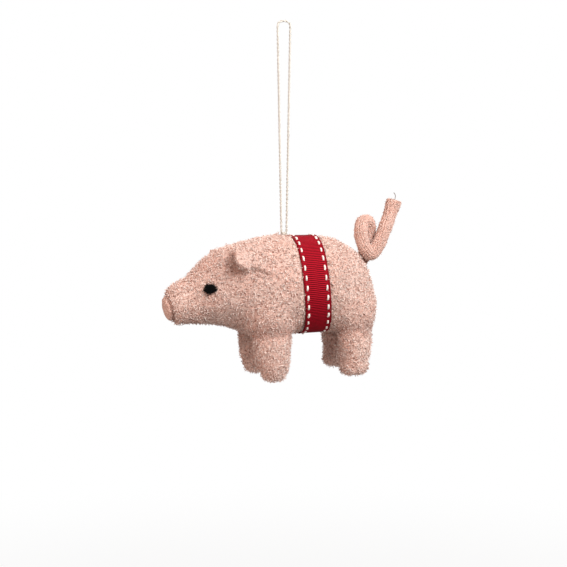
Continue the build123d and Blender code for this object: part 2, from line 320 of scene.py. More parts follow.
def write_share(piece: Object, name: str, values: np.ndarray) -> None:
    """Keep one number for each vertex of a piece under a name."""
    share = piece.data.attributes.new(name, "FLOAT", "POINT")
    share.data.foreach_set("value", values.astype(np.float32))


def carried_frames(path: np.ndarray, start: Vector) -> tuple[np.ndarray, np.ndarray, np.ndarray]:
    """Carry a side direction along a path without twist.

    Args:
        path: Points of the path.
        start: Rough side direction at the first point.

    Returns:
        Tangents, side directions and cross directions at the points.
    """
    runs = np.gradient(path, axis=0)
    runs /= np.linalg.norm(runs, axis=1)[:, None]
    side = np.array(start, float)
    sides = []
    for run in runs:
        side = side - run * side.dot(run)
        side = side / np.linalg.norm(side)
        sides.append(side)
    sides = np.array(sides)
    return runs, sides, np.cross(runs, sides)


def nurbs_line(name: str, points: list[Triple], order: int) -> np.ndarray:
    """Points along a smooth curve through a route's control points.

    Args:
        name: Name for the passing curve object.
        points: Control points in metres.
        order: Order of the spline.

    Returns:
        Points read from the curve, from its start to its end.
    """
    curve = bpy.data.curves.new(name, "CURVE")
    curve.dimensions = "3D"
    spline = curve.splines.new("NURBS")
    spline.points.add(len(points) - 1)
    for control, point in zip(spline.points, points):
        control.co = (*point, 1.0)
    spline.order_u = order
    spline.use_endpoint_u = True
    curve.resolution_u = 24
    holder = bpy.data.objects.new(name, curve)
    bpy.context.scene.collection.objects.link(holder)
    graph = bpy.context.evaluated_depsgraph_get()
    line = bpy.data.meshes.new_from_object(holder.evaluated_get(graph), depsgraph=graph)
    flat = np.zeros(len(line.vertices) * 3)
    line.vertices.foreach_get("co", flat)
    bpy.data.meshes.remove(line)
    bpy.data.objects.remove(holder)
    bpy.data.curves.remove(curve)
    return flat.reshape(-1, 3)


def lumps(points: np.ndarray, grain: float, seed: float) -> np.ndarray:
    """Smooth random swelling at points.

    Args:
        points: Points in metres.
        grain: Width of a lump in millimetres.
        seed: Offset that picks the pattern.

    Returns:
        One value from about -1 to 1 for each point.
    """
    shift = Vector((seed, 2.3 * seed, -1.7 * seed))
    return np.array([noise.noise(Vector(point) / (grain * MM) + shift) for point in points])


@dataclass(frozen=True)
class Swell:
    """Random unevenness of cloth: grain and height in millimetres, and a seed."""

    grain: float
    seed: float
    height: float


def swelling(points: np.ndarray, swells: tuple[Swell, ...]) -> np.ndarray:
    """Sum of random swells, in millimetres, at points in metres."""
    return sum(lumps(points, swell.grain, swell.seed) * swell.height for swell in swells)


def make_uneven(piece: Object, swells: tuple[Swell, ...]) -> None:
    """Push a piece's surface out and in by its random swells."""
    rise = swelling(positions(piece), swells)
    move_to(piece, positions(piece) + normals(piece) * rise[:, None] * MM)


def domed_pad(
    name: str,
    seat: np.ndarray,
    axes: tuple[np.ndarray, np.ndarray, np.ndarray],
    profile: tuple[tuple[float, float], ...],
    edge: np.ndarray,
    foot: float,
    material: Material,
) -> Object:
    """Make a low dome of rings.

    Args:
        name: Name of the piece.
        seat: Middle of the dome where it is sewn on, in millimetres.
        axes: Half length, half height and outward direction.
        profile: Share of the full size and rise of each ring, from the foot up.
        edge: Share of the full size at each step round the edge.
        foot: Rise of the middle of the foot.
        material: Finish of the piece.

    Returns:
        The dome.
    """
    half_length, half_height, out = axes
    around = np.linspace(0, 2 * math.pi, len(edge), endpoint=False)
    rings = [
        seat
        + np.outer(share * edge * np.cos(around), half_length)
        + np.outer(share * edge * np.sin(around), half_height)
        + out * rise
        for share, rise in profile
    ]
    ends = np.array([seat + out * foot, seat + out * profile[-1][1]])
    points = np.concatenate(rings + [ends]) * MM
    return refine(new_piece(name, points, ring_faces(len(rings), len(around)), material))


def path_piece(name: str, points: np.ndarray, material: Material, closed: bool = False) -> Object:
    """Make a piece of edges for a node tree to follow.

    Args:
        name: Name of the piece.
        points: Points of the path in metres.
        material: Finish of the piece.
        closed: Whether the last point joins the first.

    Returns:
        The new object.
    """
    edges = [(step, step + 1) for step in range(len(points) - 1)]
    if closed:
        edges.append((len(points) - 1, 0))
    return new_piece(name, points, [], material, edges)


def open_tree(name: str, sizes: dict[str, float | int]) -> tuple[NodeTree, Node]:
    """Start a geometry tree with named inputs.

    Args:
        name: Name of the tree.
        sizes: Named inputs and their values; a whole number makes a whole-number input.

    Returns:
        The tree and its input node.
    """
    tree = bpy.data.node_groups.new(name, "GeometryNodeTree")
    tree.interface.new_socket("Geometry", in_out="INPUT", socket_type="NodeSocketGeometry")
    for label, value in sizes.items():
        kind = "NodeSocketInt" if isinstance(value, int) else "NodeSocketFloat"
        tree.interface.new_socket(label, in_out="INPUT", socket_type=kind)
    tree.interface.new_socket("Geometry", in_out="OUTPUT", socket_type="NodeSocketGeometry")
    return tree, put(tree, "NodeGroupInput")


def close_tree(tree: NodeTree, shape: NodeSocket, material: Material) -> None:
    """End a geometry tree in realized geometry with its material.

    Args:
        tree: Tree to end.
        shape: Socket with the finished geometry.
        material: Finish that the geometry gets.
    """
    real = put(tree, "GeometryNodeRealizeInstances", {"Geometry": shape})
    dressed = put(tree, "GeometryNodeSetMaterial", {"Geometry": real, "Material": material})
    put(tree, "NodeGroupOutput", {"Geometry": dressed})


def grow(piece: Object, tree: NodeTree, sizes: dict[str, float | int]) -> Object:
    """Run a geometry tree on a piece and keep the result as plain mesh.

    Args:
        piece: Object that the tree works on.
        tree: Geometry tree.
        sizes: Values of the tree's named inputs.

    Returns:
        The same object with the finished mesh.
    """
    modifier = piece.modifiers.new(tree.name, "NODES")
    modifier.node_group = tree
    for item in tree.interface.items_tree:
        if item.in_out == "INPUT" and item.name in sizes:
            modifier[item.identifier] = sizes[item.name]
    materials = list(piece.data.materials)
    bake(piece)
    if not piece.data.materials:
        for material in materials:
            piece.data.materials.append(material)
    return piece


@dataclass(frozen=True)
class HeatherWool:
    """Boiled wool cloth in heathered pink: matt and fibrous, with small dark pits in the weave."""

    name: str = "boiled_wool_heather_pink"
    pale: str = "#F5E1D8"
    body: str = "#DBAC9C"
    blush: str = "#DDAC9C"
    # Colour of the weave's pits, and also of the painted shade in creases.
    pit_and_shade: str = "#8A4A34"
    pit_shade: float = 0.85
    pit_mm: float = 1.6
    # A wool fibre is some 0.03 mm thick; the pattern is drawn this coarse so that it shows.
    fibre_mm: float = 0.5
    cloud_mm: float = 16.0
    wander_mm: float = 1.5
    drift_mm: float = 1.4
    bump_mm: float = 0.8

    def material(self) -> Material:
        """Build the finish.

        Returns:
            The material.
        """
        material, tree = blank_material(self.name)
        place = put(tree, "ShaderNodeTexCoord").outputs["Object"]
        wander = put(
            tree,
            "ShaderNodeTexNoise",
            {"Vector": place, "Scale": 1 / (self.wander_mm * MM), "Detail": 1.0},
        )
        centred = put(
            tree,
            "ShaderNodeVectorMath",
            {0: wander.outputs["Color"], 1: (0.5,) * 3},
            operation="SUBTRACT",
        )
        drift = put(
            tree,
            "ShaderNodeVectorMath",
            {0: centred, "Scale": self.drift_mm * MM},
            operation="SCALE",
        )
        bent = put(tree, "ShaderNodeVectorMath", {0: place, 1: drift}, operation="ADD")
        weave = put(tree, "ShaderNodeTexVoronoi", {"Vector": bent, "Scale": 1 / (self.pit_mm * MM)})
        tones = put(tree, "ShaderNodeSeparateColor", {"Color": weave.outputs["Color"]})
        fibre = put(
            tree,
            "ShaderNodeTexNoise",
            {"Vector": bent, "Scale": 1 / (self.fibre_mm * MM), "Detail": 3.0, "Roughness": 0.65},
        )
        cloud = put(
            tree,
            "ShaderNodeTexNoise",
            {"Vector": place, "Scale": 1 / (self.cloud_mm * MM), "Detail": 2.0},
        )
        strand = put(tree, "ShaderNodeMapRange", {"Value": fibre.outputs["Fac"], 1: 0.36, 2: 0.62})
        ground = put(
            tree,
            "ShaderNodeMix",
            {0: strand, 6: linear(self.body), 7: linear(self.pale)},
            data_type="RGBA",
        )
        warm = put(
            tree,
            "ShaderNodeMapRange",
            {"Value": cloud.outputs["Fac"], 1: 0.4, 2: 0.7, 3: 0.0, 4: 0.5},
        )
        blushed = put(
            tree, "ShaderNodeMix", {0: warm, 6: ground, 7: linear(self.blush)}, data_type="RGBA"
        )
        hollow = put(
            tree,
            "ShaderNodeMapRange",
            {"Value": weave.outputs["Distance"], 1: 0.16, 2: 0.5, 3: 1.0, 4: 0.0},
        )
        some = put(
            tree,
            "ShaderNodeMapRange",
            {"Value": tones.outputs["Red"], 3: 0.4 * self.pit_shade, 4: self.pit_shade},
        )
        pits = put(tree, "ShaderNodeMath", {0: hollow, 1: some}, operation="MULTIPLY")
        # Painted shade: where the piece's 'shade' share is high, the cloth darkens towards the pit
        # colour as if shaded in a crease.
        painted_shade = put(tree, "ShaderNodeAttribute", attribute_name="shade").outputs["Fac"]
        dark = put(tree, "ShaderNodeMath", {0: pits, 1: painted_shade}, operation="MAXIMUM")
        colour = put(
            tree, "ShaderNodeMix", {0: dark, 6: blushed, 7: linear(self.pit_and_shade)}, data_type="RGBA"
        )
        height = put(
            tree, "ShaderNodeMath", {0: fibre.outputs["Fac"], 1: pits}, operation="SUBTRACT"
        )
        bump = put(
            tree,
            "ShaderNodeBump",
            {"Strength": 1.0, "Distance": self.bump_mm * MM, "Height": height},
        )
        shader = put(
            tree,
            "ShaderNodeBsdfPrincipled",
            {
                "Base Color": colour,
                "Roughness": 0.95,
                "Specular IOR Level": 0.1,
                "Sheen Weight": 0.12,
                "Sheen Roughness": 0.5,
                "Sheen Tint": linear("#FFE6DC"),
                "Normal": bump,
            },
        )
        put(tree, "ShaderNodeOutputMaterial", {"Surface": shader})
        return material


@dataclass(frozen=True)
class WoolNap:
    """Loose wool fibres that stand off the cloth: pale, fine and matt."""

    name: str = "wool_nap_pale"
    pale: str = "#FAECE5"
    deep: str = "#C48D79"
    # Colour of the painted shade on fibres over creases and hollows.
    shade: str = "#86492F"
    patch_mm: float = 0.9

    def material(self) -> Material:
        """Build the finish.

        Returns:
            The material.
        """
        material, tree = blank_material(self.name)
        place = put(tree, "ShaderNodeTexCoord").outputs["Object"]
        patch = put(
            tree,
            "ShaderNodeTexNoise",
            {"Vector": place, "Scale": 1 / (self.patch_mm * MM), "Detail": 1.0},
        )
        share = put(tree, "ShaderNodeMapRange", {"Value": patch.outputs["Fac"], 1: 0.32, 2: 0.58})
        strand = put(
            tree,
            "ShaderNodeMix",
            {0: share, 6: linear(self.deep), 7: linear(self.pale)},
            data_type="RGBA",
        )
        # Painted shade: the fibres darken towards the shade colour where the skin's 'shade' share
        # is high.
        painted_shade = put(tree, "ShaderNodeAttribute", attribute_name="shade").outputs["Fac"]
        colour = put(
            tree, "ShaderNodeMix", {0: painted_shade, 6: strand, 7: linear(self.shade)}, data_type="RGBA"
        )
        shader = put(
            tree,
            "ShaderNodeBsdfPrincipled",
            {
                "Base Color": colour,
                "Roughness": 0.9,
                "IOR": 1.54,
                "Specular IOR Level": 0.2,
                "Sheen Weight": 0.2,
                "Sheen Roughness": 0.5,
            },
        )
        put(tree, "ShaderNodeOutputMaterial", {"Surface": shader})
        return material


@dataclass(frozen=True)
class BlackFelt:
    """Needle-felted black wool: almost no shine, with a fibrous, uneven surface."""

    name: str = "needle_felt_black"
    black: str = "#040404"
    grey: str = "#161415"
    # As in the wool cloth, the fibres are drawn coarser than they are so that they show.
    fibre_mm: float = 0.5

    def material(self) -> Material:
        """Build the finish.

        Returns:
            The material.
        """
        material, tree = blank_material(self.name)
        place = put(tree, "ShaderNodeTexCoord").outputs["Object"]
        fibre = put(
            tree,
            "ShaderNodeTexNoise",
            {"Vector": place, "Scale": 1 / (self.fibre_mm * MM), "Detail": 4.0, "Roughness": 0.65},
        )
        share = put(tree, "ShaderNodeMapRange", {"Value": fibre.outputs["Fac"], 1: 0.45, 2: 0.75})
        colour = put(
            tree,
            "ShaderNodeMix",
            {0: share, 6: linear(self.black), 7: linear(self.grey)},
            data_type="RGBA",
        )
        bump = put(
            tree,
            "ShaderNodeBump",
            {"Strength": 0.8, "Distance": 0.3 * MM, "Height": fibre.outputs["Fac"]},
        )
        shader = put(
            tree,
            "ShaderNodeBsdfPrincipled",
            {"Base Color": colour, "Roughness": 0.95, "Specular IOR Level": 0.1, "Normal": bump},
        )
        put(tree, "ShaderNodeOutputMaterial", {"Surface": shader})
        return material


@dataclass(frozen=True)
class CrimsonGrosgrain:
    """Grosgrain ribbon: fine cross ribs with painted shade in their troughs, a low satin light, and
    darker corded selvages.
    """

    name: str = "grosgrain_crimson"
    rib: str = "#B51128"
    # Colour of the painted shade in the troughs between the ribs.
    groove: str = "#52020B"
    selvage: str = "#6A0612"
    selvage_mm: float = 1.1
    rib_mm: float = 1.1
    width_mm: float = 15.0

    def material(self) -> Material:
        """Build the finish; it reads the ribbon's own map, run and width in millimetres.

        Returns:
            The material.
        """
        material, tree = blank_material(self.name)
        run = put(tree, "ShaderNodeUVMap", uv_map="ribbon_mm")
        parts = put(tree, "ShaderNodeSeparateXYZ", {0: run})
        turn = put(
            tree,
            "ShaderNodeMath",
            {0: parts.outputs["X"], 1: 2 * math.pi / self.rib_mm},
            operation="MULTIPLY",
        )
        wave = put(tree, "ShaderNodeMath", {0: turn}, operation="COSINE")
        crest = put(tree, "ShaderNodeMapRange", {"Value": wave, 1: -0.9, 2: 0.3})
        off_middle = put(
            tree,
            "ShaderNodeMath",
            {0: parts.outputs["Y"], 1: self.width_mm / 2},
            operation="SUBTRACT",
        )
        reach = put(tree, "ShaderNodeMath", {0: off_middle}, operation="ABSOLUTE")
        inner = self.width_mm / 2 - self.selvage_mm
        edge = put(tree, "ShaderNodeMapRange", {"Value": reach, 1: inner - 0.15, 2: inner + 0.15})
        slant = put(
            tree,
            "ShaderNodeMath",
            {0: reach, 1: math.pi / self.selvage_mm, 2: turn},
            operation="MULTIPLY_ADD",
        )
        ply = put(tree, "ShaderNodeMath", {0: slant}, operation="SINE")
        cord = put(tree, "ShaderNodeMapRange", {"Value": ply, 1: -0.2, 2: 1.0, 3: 0.0, 4: 0.45})
        yarn = put(tree, "ShaderNodeTexNoise", {"Vector": run, "Scale": 3.0, "Detail": 2.0})
        # Painted shade: the troughs between the ribs take the darker groove colour.
        ribs = put(
            tree,
            "ShaderNodeMix",
            {0: crest, 6: linear(self.groove), 7: linear(self.rib)},
            data_type="RGBA",
        )
        corded = put(
            tree,
            "ShaderNodeMix",
            {0: cord, 6: linear(self.selvage), 7: linear(self.rib)},
            data_type="RGBA",
        )
        woven = put(tree, "ShaderNodeMix", {0: edge, 6: ribs, 7: corded}, data_type="RGBA")
        tint = put(
            tree,
            "ShaderNodeMapRange",
            {"Value": yarn.outputs["Fac"], 1: 0.3, 2: 0.7, 3: 0.84, 4: 1.14},
        )
        colour = put(tree, "ShaderNodeVectorMath", {0: woven, "Scale": tint}, operation="SCALE")
        bump = put(
            tree,
            "ShaderNodeBump",
            {"Strength": 0.3, "Distance": 0.08 * MM, "Height": yarn.outputs["Fac"]},
        )
        shader = put(
            tree,
            "ShaderNodeBsdfPrincipled",
            {"Base Color": colour, "Roughness": 0.75, "Specular IOR Level": 0.08, "Normal": bump},
        )
        put(tree, "ShaderNodeOutputMaterial", {"Surface": shader})
        return material


@dataclass(frozen=True)
class SpunYarn:
    """Spun cotton or thread: soft and matt, with fine darker lines between its fibres."""

    name: str
    pale: str
    shade: str
    # Cotton fibres are finer still; the pattern is drawn this coarse so that it shows.
    fibre_mm: float = 0.25

    def material(self) -> Material:
        """Build the finish.

        Returns:
            The material.
        """
        material, tree = blank_material(self.name)
        place = put(tree, "ShaderNodeTexCoord").outputs["Object"]
        fibre = put(
            tree,
            "ShaderNodeTexNoise",
            {"Vector": place, "Scale": 1 / (self.fibre_mm * MM), "Detail": 3.0},
        )
        share = put(tree, "ShaderNodeMapRange", {"Value": fibre.outputs["Fac"], 1: 0.35, 2: 0.6})
        colour = put(
            tree,
            "ShaderNodeMix",
            {0: share, 6: linear(self.shade), 7: linear(self.pale)},
            data_type="RGBA",
        )
        bump = put(
            tree,
            "ShaderNodeBump",
            {"Strength": 0.5, "Distance": 0.1 * MM, "Height": fibre.outputs["Fac"]},
        )
        shader = put(
            tree,
            "ShaderNodeBsdfPrincipled",
            {
                "Base Color": colour,
                "Roughness": 0.85,
                "Specular IOR Level": 0.25,
                "Sheen Weight": 0.15,
                "Sheen Roughness": 0.5,
                "Normal": bump,
            },
        )
        put(tree, "ShaderNodeOutputMaterial", {"Surface": shader})
        return material


@dataclass
class NapGrower:
    """Scatters loose fibres over wool cloth or felt; density counts them on a square millimetre."""

    density: float = 0.4
    length: float = 0.85
    # About two fibres thick, so that the fuzz shows.
    thickness: float = 0.07
    least_tilt: float = 35.0
    most_tilt: float = 80.0
    seed: int = 11
    cover: str = "nap"

    def tree(self, material: Material) -> NodeTree:
        """Build the tree that turns a skin into its fibres.

        Args:
            material: Finish of the fibres.

        Returns:
            The tree.
        """
        tree, entry = open_tree(
            "wool_nap", {"Density": 1.0, "Length": 1.0, "Thickness": 0.1, "Seed": 1}
        )
        cover = put(
            tree, "GeometryNodeInputNamedAttribute", {"Name": self.cover}, data_type="FLOAT"
        )
        thick = put(
            tree, "ShaderNodeMath", {0: entry.outputs["Density"], 1: cover}, operation="MULTIPLY"
        )
        spots = put(
            tree,
            "GeometryNodeDistributePointsOnFaces",
            {"Mesh": entry.outputs["Geometry"], "Density": thick, "Seed": entry.outputs["Seed"]},
            distribute_method="RANDOM",
        )
        arc = put(
            tree,
            "GeometryNodeCurveQuadraticBezier",
            {"Resolution": 2, "Start": (0, 0, -0.08), "Middle": (0, 0, 0.55), "End": (0, 0.4, 1)},
        )
        along = put(tree, "GeometryNodeSplineParameter")
        taper = put(tree, "ShaderNodeMapRange", {"Value": along.outputs["Factor"], 3: 1.0, 4: 0.3})
        tapered = put(tree, "GeometryNodeSetCurveRadius", {"Curve": arc, "Radius": taper})
        half = put(
            tree,
            "ShaderNodeMath",
            {0: entry.outputs["Thickness"], 1: entry.outputs["Length"]},
            operation="DIVIDE",
        )
        section = put(tree, "GeometryNodeCurvePrimitiveCircle", {"Resolution": 3, "Radius": half})
        fibre = put(tree, "GeometryNodeCurveToMesh", {"Curve": tapered, "Profile Curve": section})
        lay = put(
            tree,
            "FunctionNodeRandomValue",
            {
                0: (math.radians(self.least_tilt), 0, 0),
                1: (math.radians(self.most_tilt), 0, 2 * math.pi),
                "Seed": 3,
            },
            data_type="FLOAT_VECTOR",
        )
        turned = put(tree, "FunctionNodeEulerToRotation", {0: lay})
        facing = put(
            tree,
            "FunctionNodeRotateRotation",
            {"Rotation": spots.outputs["Rotation"], "Rotate By": turned},
            rotation_space="LOCAL",
        )
        long = put(
            tree, "FunctionNodeRandomValue", {2: 0.45, 3: 1.15, "Seed": 5}, data_type="FLOAT"
        )
        size = put(
            tree, "ShaderNodeMath", {0: long, 1: entry.outputs["Length"]}, operation="MULTIPLY"
        )
        placed = put(
            tree,
            "GeometryNodeInstanceOnPoints",
            {
                "Points": spots.outputs["Points"],
                "Instance": fibre,
                "Rotation": facing,
                "Scale": size,
            },
        )
        close_tree(tree, placed.outputs[0], material)
        return tree

    def over(self, piece: Object, name: str, material: Material) -> Object:
        """Grow fibres over a piece.

        Args:
            piece: Skin that carries the fibres; its cover attribute thins them.
            name: Name of the new piece.
            material: Finish of the fibres.

        Returns:
            The fibres as a piece of their own.
        """
        nap = bpy.data.objects.new(name, piece.data.copy())
        bpy.context.scene.collection.objects.link(nap)
        if self.cover not in nap.data.attributes:
            write_share(nap, self.cover, np.ones(len(nap.data.vertices)))
        sizes = {
            "Density": self.density / MM**2,
            "Length": self.length * MM,
            "Thickness": self.thickness * MM / 2,
            "Seed": self.seed,
        }
        grow(nap, self.tree(material), sizes)
        nap.data.materials.clear()
        nap.data.materials.append(material)
        return nap


def join(pieces: list[Object], name: str) -> Object:
    """Join pieces into one mesh, keeping their materials.

    Args:
        pieces: Objects to join; they are used up.
        name: Name of the joined piece.

    Returns:
        The joined object.
    """
    bpy.ops.object.select_all(action="DESELECT")
    for piece in pieces:
        piece.select_set(True)
    bpy.context.view_layer.objects.active = pieces[0]
    bpy.ops.object.join()
    pieces[0].name = name
    pieces[0].data.name = name
    return pieces[0]


@dataclass(frozen=True)
class EarPlace:
    """Where the ears are sewn: both roots, and directions that the left side mirrors."""

    root: Triple = (-27.8495, 18.2669, -128.6113)
    left_root: Triple = (-26.4, -17.4, -126.7)
    along: Triple = (0.25, 0.665, -0.703)
    stand: Triple = (-0.7836, 0.6069, 0.1331)
    outward: Triple = (-0.2330, 0.8016, 0.5506)
    forward: Triple = (-0.8927, 0.0483, -0.4481)
    cup: Triple = (-0.4957, -0.4815, -0.7228)

    def on(self, side: Side, name: str) -> np.ndarray:
        """One of the place's vectors for a side of the pig."""
        x, y, z = getattr(self, name)
        return np.array((x, y * side.value, z))

    def seat(self, side: Side) -> np.ndarray:
        """Middle of the sewn edge; the left ear is sewn a little higher."""
        return np.array(self.left_root if side is Side.LEFT else self.root)


@dataclass(frozen=True)
class BeltPlace:
    """Where the ribbon lies: the middle of its width at the back, and its lean."""

    middle: Triple = (11.2344, 0.0, -116.5421)
    lean: float = 3.5
    width: float = 15.0
    half_height: float = 27.7
    stray: Triple = (-1.5, -0.92, 1.92)

    def across(self) -> np.ndarray:
        """Direction across the ribbon, towards the tail."""
        return np.array((math.cos(math.radians(self.lean)), 0, math.sin(math.radians(self.lean))))

    def up(self) -> np.ndarray:
        """Direction up the ribbon's plane."""
        return np.array((-math.sin(math.radians(self.lean)), 0, math.cos(math.radians(self.lean))))

    def centre(self) -> np.ndarray:
        """Middle of the ribbon's ring, in millimetres."""
        return np.array(self.middle) - self.up() * self.half_height

    def drift(self, rise: np.ndarray) -> np.ndarray:
        """How far the ribbon strays from its plane as it follows the body.

        Args:
            rise: Height on the ring, from -1 at the belly to 1 at the back.

        Returns:
            Offsets across the ribbon in millimetres.
        """
        level, slope, bend = self.stray
        return level + slope * rise + bend * rise**2

    def off_middle(self, points: np.ndarray) -> np.ndarray:
        """Distance of points from the ribbon's middle line, across it.

        Args:
            points: Points in millimetres.

        Returns:
            Distances in millimetres, negative towards the snout.
        """
        away = points - self.centre()
        rise = np.clip(away @ self.up() / self.half_height, -1, 1)
        return away @ self.across() - self.drift(rise)


@dataclass
class WoolHide:
    """The stuffed wool skin of body, head and legs, as one sewn piece."""

    torso: tuple[tuple[float, float, float, float, float], ...] = (
        (-66.0, 39.1, 7.8, 7.5, 12.5),
        (-65.2, 39.0, 9.3, 9.0, 12.5),
        (-63.66, 38.5, 10.4, 10.2, 12.0),
        (-58.5, 36.2, 13.1, 12.4, 3.0),
        (-50.0, 31.9, 16.0, 16.5, 0.0),
        (-42.0, 29.1, 18.5, 20.3, 0.0),
        (-33.0, 28.25, 20.75, 23.15, 0.0),
        (-24.0, 28.35, 22.75, 25.95, 0.0),
        (-12.0, 27.75, 24.5, 27.25, 0.0),
        (0.0, 27.45, 25.5, 27.45, 0.0),
        (14.0, 27.9, 25.5, 27.0, 0.0),
    )
    body_width: float = 51.0
    body_height: float = 55.5
    barrel_top_drop: float = 0.9
    rump_behind: float = 52.2
    rump_drop: float = 42.0
    rump_fullness: float = 2.45
    underside_fullness: float = 3.2
    rump_angles: tuple[float, ...] = (12, 22, 32, 42, 50, 58, 65, 71, 76, 81, 85, 88.5)
    ring_step: float = 0.9
    legs: tuple[Triple, ...] = ((-11.5, 24.2, 23.2), (37.0, 22.5, 20.5))
    sole_shifts: tuple[tuple[float, float], ...] = ((0.9, -0.7), (-0.3, -0.2))
    leg_spacing: float = 30.0
    leg_root_spacing: float = 25.0
    haunch_spacing: float = 26.0
    haunch_rise: float = 12.0
    haunch_height: float = 30.0
    haunches: tuple[tuple[float, float], ...] = ((15.0, 12.4), (12.6, 12.0))
    soles: tuple[float, float] = (4.2, 6.2)
    voxel: float = 1.25
    enlarged: float = 20.0
    cloth_quality: int = 6
    cloth_mass: float = 0.1
    stretch_stiffness: float = 5.0
    bending_stiffness: float = 0.2
    pressure: float = 14.0
    swell_frames: int = 20
    puff: float = 0.8
    seam_reach: float = 2.2
    swells: tuple[Swell, ...] = (Swell(13.0, 4.2, 0.55), Swell(6.0, 9.1, 0.22))
    ears: EarPlace = field(default_factory=EarPlace)
    belt: BeltPlace = field(default_factory=BeltPlace)

    def torso_rows(self) -> np.ndarray:
        """Section sizes from the muzzle's end to the rump.

        Returns:
            Rows of place, drop, half width, half height and lean, in millimetres and degrees.
        """
        rows = [list(row) for row in self.torso]
        reach = self.rump_behind - rows[-1][0]
        barrel = rows[-1][0]
        for angle in np.radians(self.rump_angles):
            shrink = math.cos(angle) ** (2 / self.rump_fullness)
            under = math.cos(angle) ** (2 / self.underside_fullness)
            top = (self.rump_drop - self.barrel_top_drop) * shrink
            bottom = (self.body_height - self.rump_drop) * under
            rows.append(
                [
                    barrel + reach * math.sin(angle) ** (2 / self.rump_fullness),
                    self.rump_drop - (top - bottom) / 2,
                    self.body_width / 2 * shrink,
                    (top + bottom) / 2,
                    0.0,
                ]
            )
        return spline_rows(np.array(rows), self.ring_step)

    def torso_skin(self) -> tuple[np.ndarray, Faces]:
        """Rings of the body and head.

        Returns:
            Points in metres and faces.
        """
        rows = self.torso_rows()
        around = np.linspace(0, 2 * math.pi, 112, endpoint=False)
        points = []
        for place, drop, half_width, half_height, lean in rows:
            tip = math.radians(lean)
            rise = half_height * np.sin(around)
            ring = np.stack(
                [
                    place - math.sin(tip) * rise,
                    half_width * np.cos(around),
                    BACK - drop + math.cos(tip) * rise,
                ],
                axis=1,
            )
            points.append(ring)
        ends = [[rows[0][0], 0, BACK - rows[0][1]], [self.rump_behind, 0, BACK - rows[-1][1]]]
        return np.concatenate(points + [np.array(ends)]) * MM, ring_faces(len(rows), len(around))

    def haunch_skin(
        self, place: float, side: Side, reach: tuple[float, float]
    ) -> tuple[np.ndarray, Faces]:
        """Rings of the body's swell over one leg, a pillow shape.

        Args:
            place: The leg's X in millimetres.
            side: Side of the pig.
            reach: Half length and half width of the swell.

        Returns:
            Points in metres and faces.
        """
        middle = np.array((place, side.value * self.haunch_spacing / 2, BELLY + self.haunch_rise))
        levels = np.sin(np.radians(np.linspace(-86, 86, 33)))
        around = np.linspace(0, 2 * math.pi, 64, endpoint=False)
        rings = [
            np.stack([np.cos(around), np.sin(around), np.full_like(around, level)], axis=1)
            * np.array(((1 - abs(level) ** 3) ** (1 / 3),) * 2 + (1.0,))
            for level in levels
        ]
        pillow = np.concatenate(rings + [np.array([[0, 0, -1.0], [0, 0, 1.0]])])
        points = middle + pillow * np.array((*reach, self.haunch_height / 2))
        return points * MM, ring_faces(len(rings), len(around))

    def leg_skin(
        self, leg: Triple, side: Side, toe: float, shift: float
    ) -> tuple[np.ndarray, Faces]:
        """Rings of one leg, from inside the body to its sole.

        Args:
            leg: X, reach below the belly and thickness at the belly, in millimetres.
            side: Side of the pig.
            toe: Half width of the flat of the sole.
            shift: How far the sole lies behind the leg's top.

        Returns:
            Points in metres and faces.
        """
        place, length, thigh = leg
        sole = BELLY - length
        spread, root = self.leg_spacing / 2, self.leg_root_spacing / 2
        levels = np.array(
            (
                (BELLY + 14.0, place, root, 8.5, 8.5),
                (BELLY - 1.0, place, spread - 0.3, thigh / 2 - 0.9, 9.4),
                (BELLY - 6.0, place, spread, thigh / 2 - 1.7, 9.6),
                (sole + 10.0, place + shift / 2, spread, thigh / 2 - 2.8, 9.2),
                (sole + 3.5, place + shift, spread, 4.4 + toe / 2, 5.5 + toe / 2),
                (sole + 1.0, place + shift, spread, 1.5 + toe, 1.9 + toe),
                (sole, place + shift, spread, toe, toe),
            )
        )
        rows = spline_rows(levels, self.ring_step)
        around = np.linspace(0, 2 * math.pi, 64, endpoint=False)
        points = [
            np.stack(
                [
                    middle + lengthwise * np.cos(around),
                    side.value * offset + crosswise * np.sin(around),
                    np.full_like(around, height),
                ],
                axis=1,
            )
            for height, middle, offset, lengthwise, crosswise in rows
        ]
        ends = [[row[1], side.value * row[2], row[0]] for row in (levels[0], levels[-1])]
        return np.concatenate(points + [np.array(ends)]) * MM, ring_faces(len(rows), len(around))

    def seam_closeness(self, points: np.ndarray, trees: list[BVHTree]) -> np.ndarray:
        """How near each point is to where a leg meets the body.

        Args:
            points: Points in metres.
            trees: Search trees of the torso and then of each leg.

        Returns:
            Values from 0, away from the seams, to 1 on them.
        """
        near = np.zeros(len(points))
        low = points[:, 2] < (BACK - 20) * MM
        for index in np.nonzero(low)[0]:
            spot = Vector(points[index])
            on_torso = trees[0].find_nearest(spot)[3]
            on_leg = min(tree.find_nearest(spot)[3] for tree in trees[1:])
            near[index] = math.exp(-((max(on_torso, on_leg) / (self.seam_reach * MM)) ** 2))
        return near

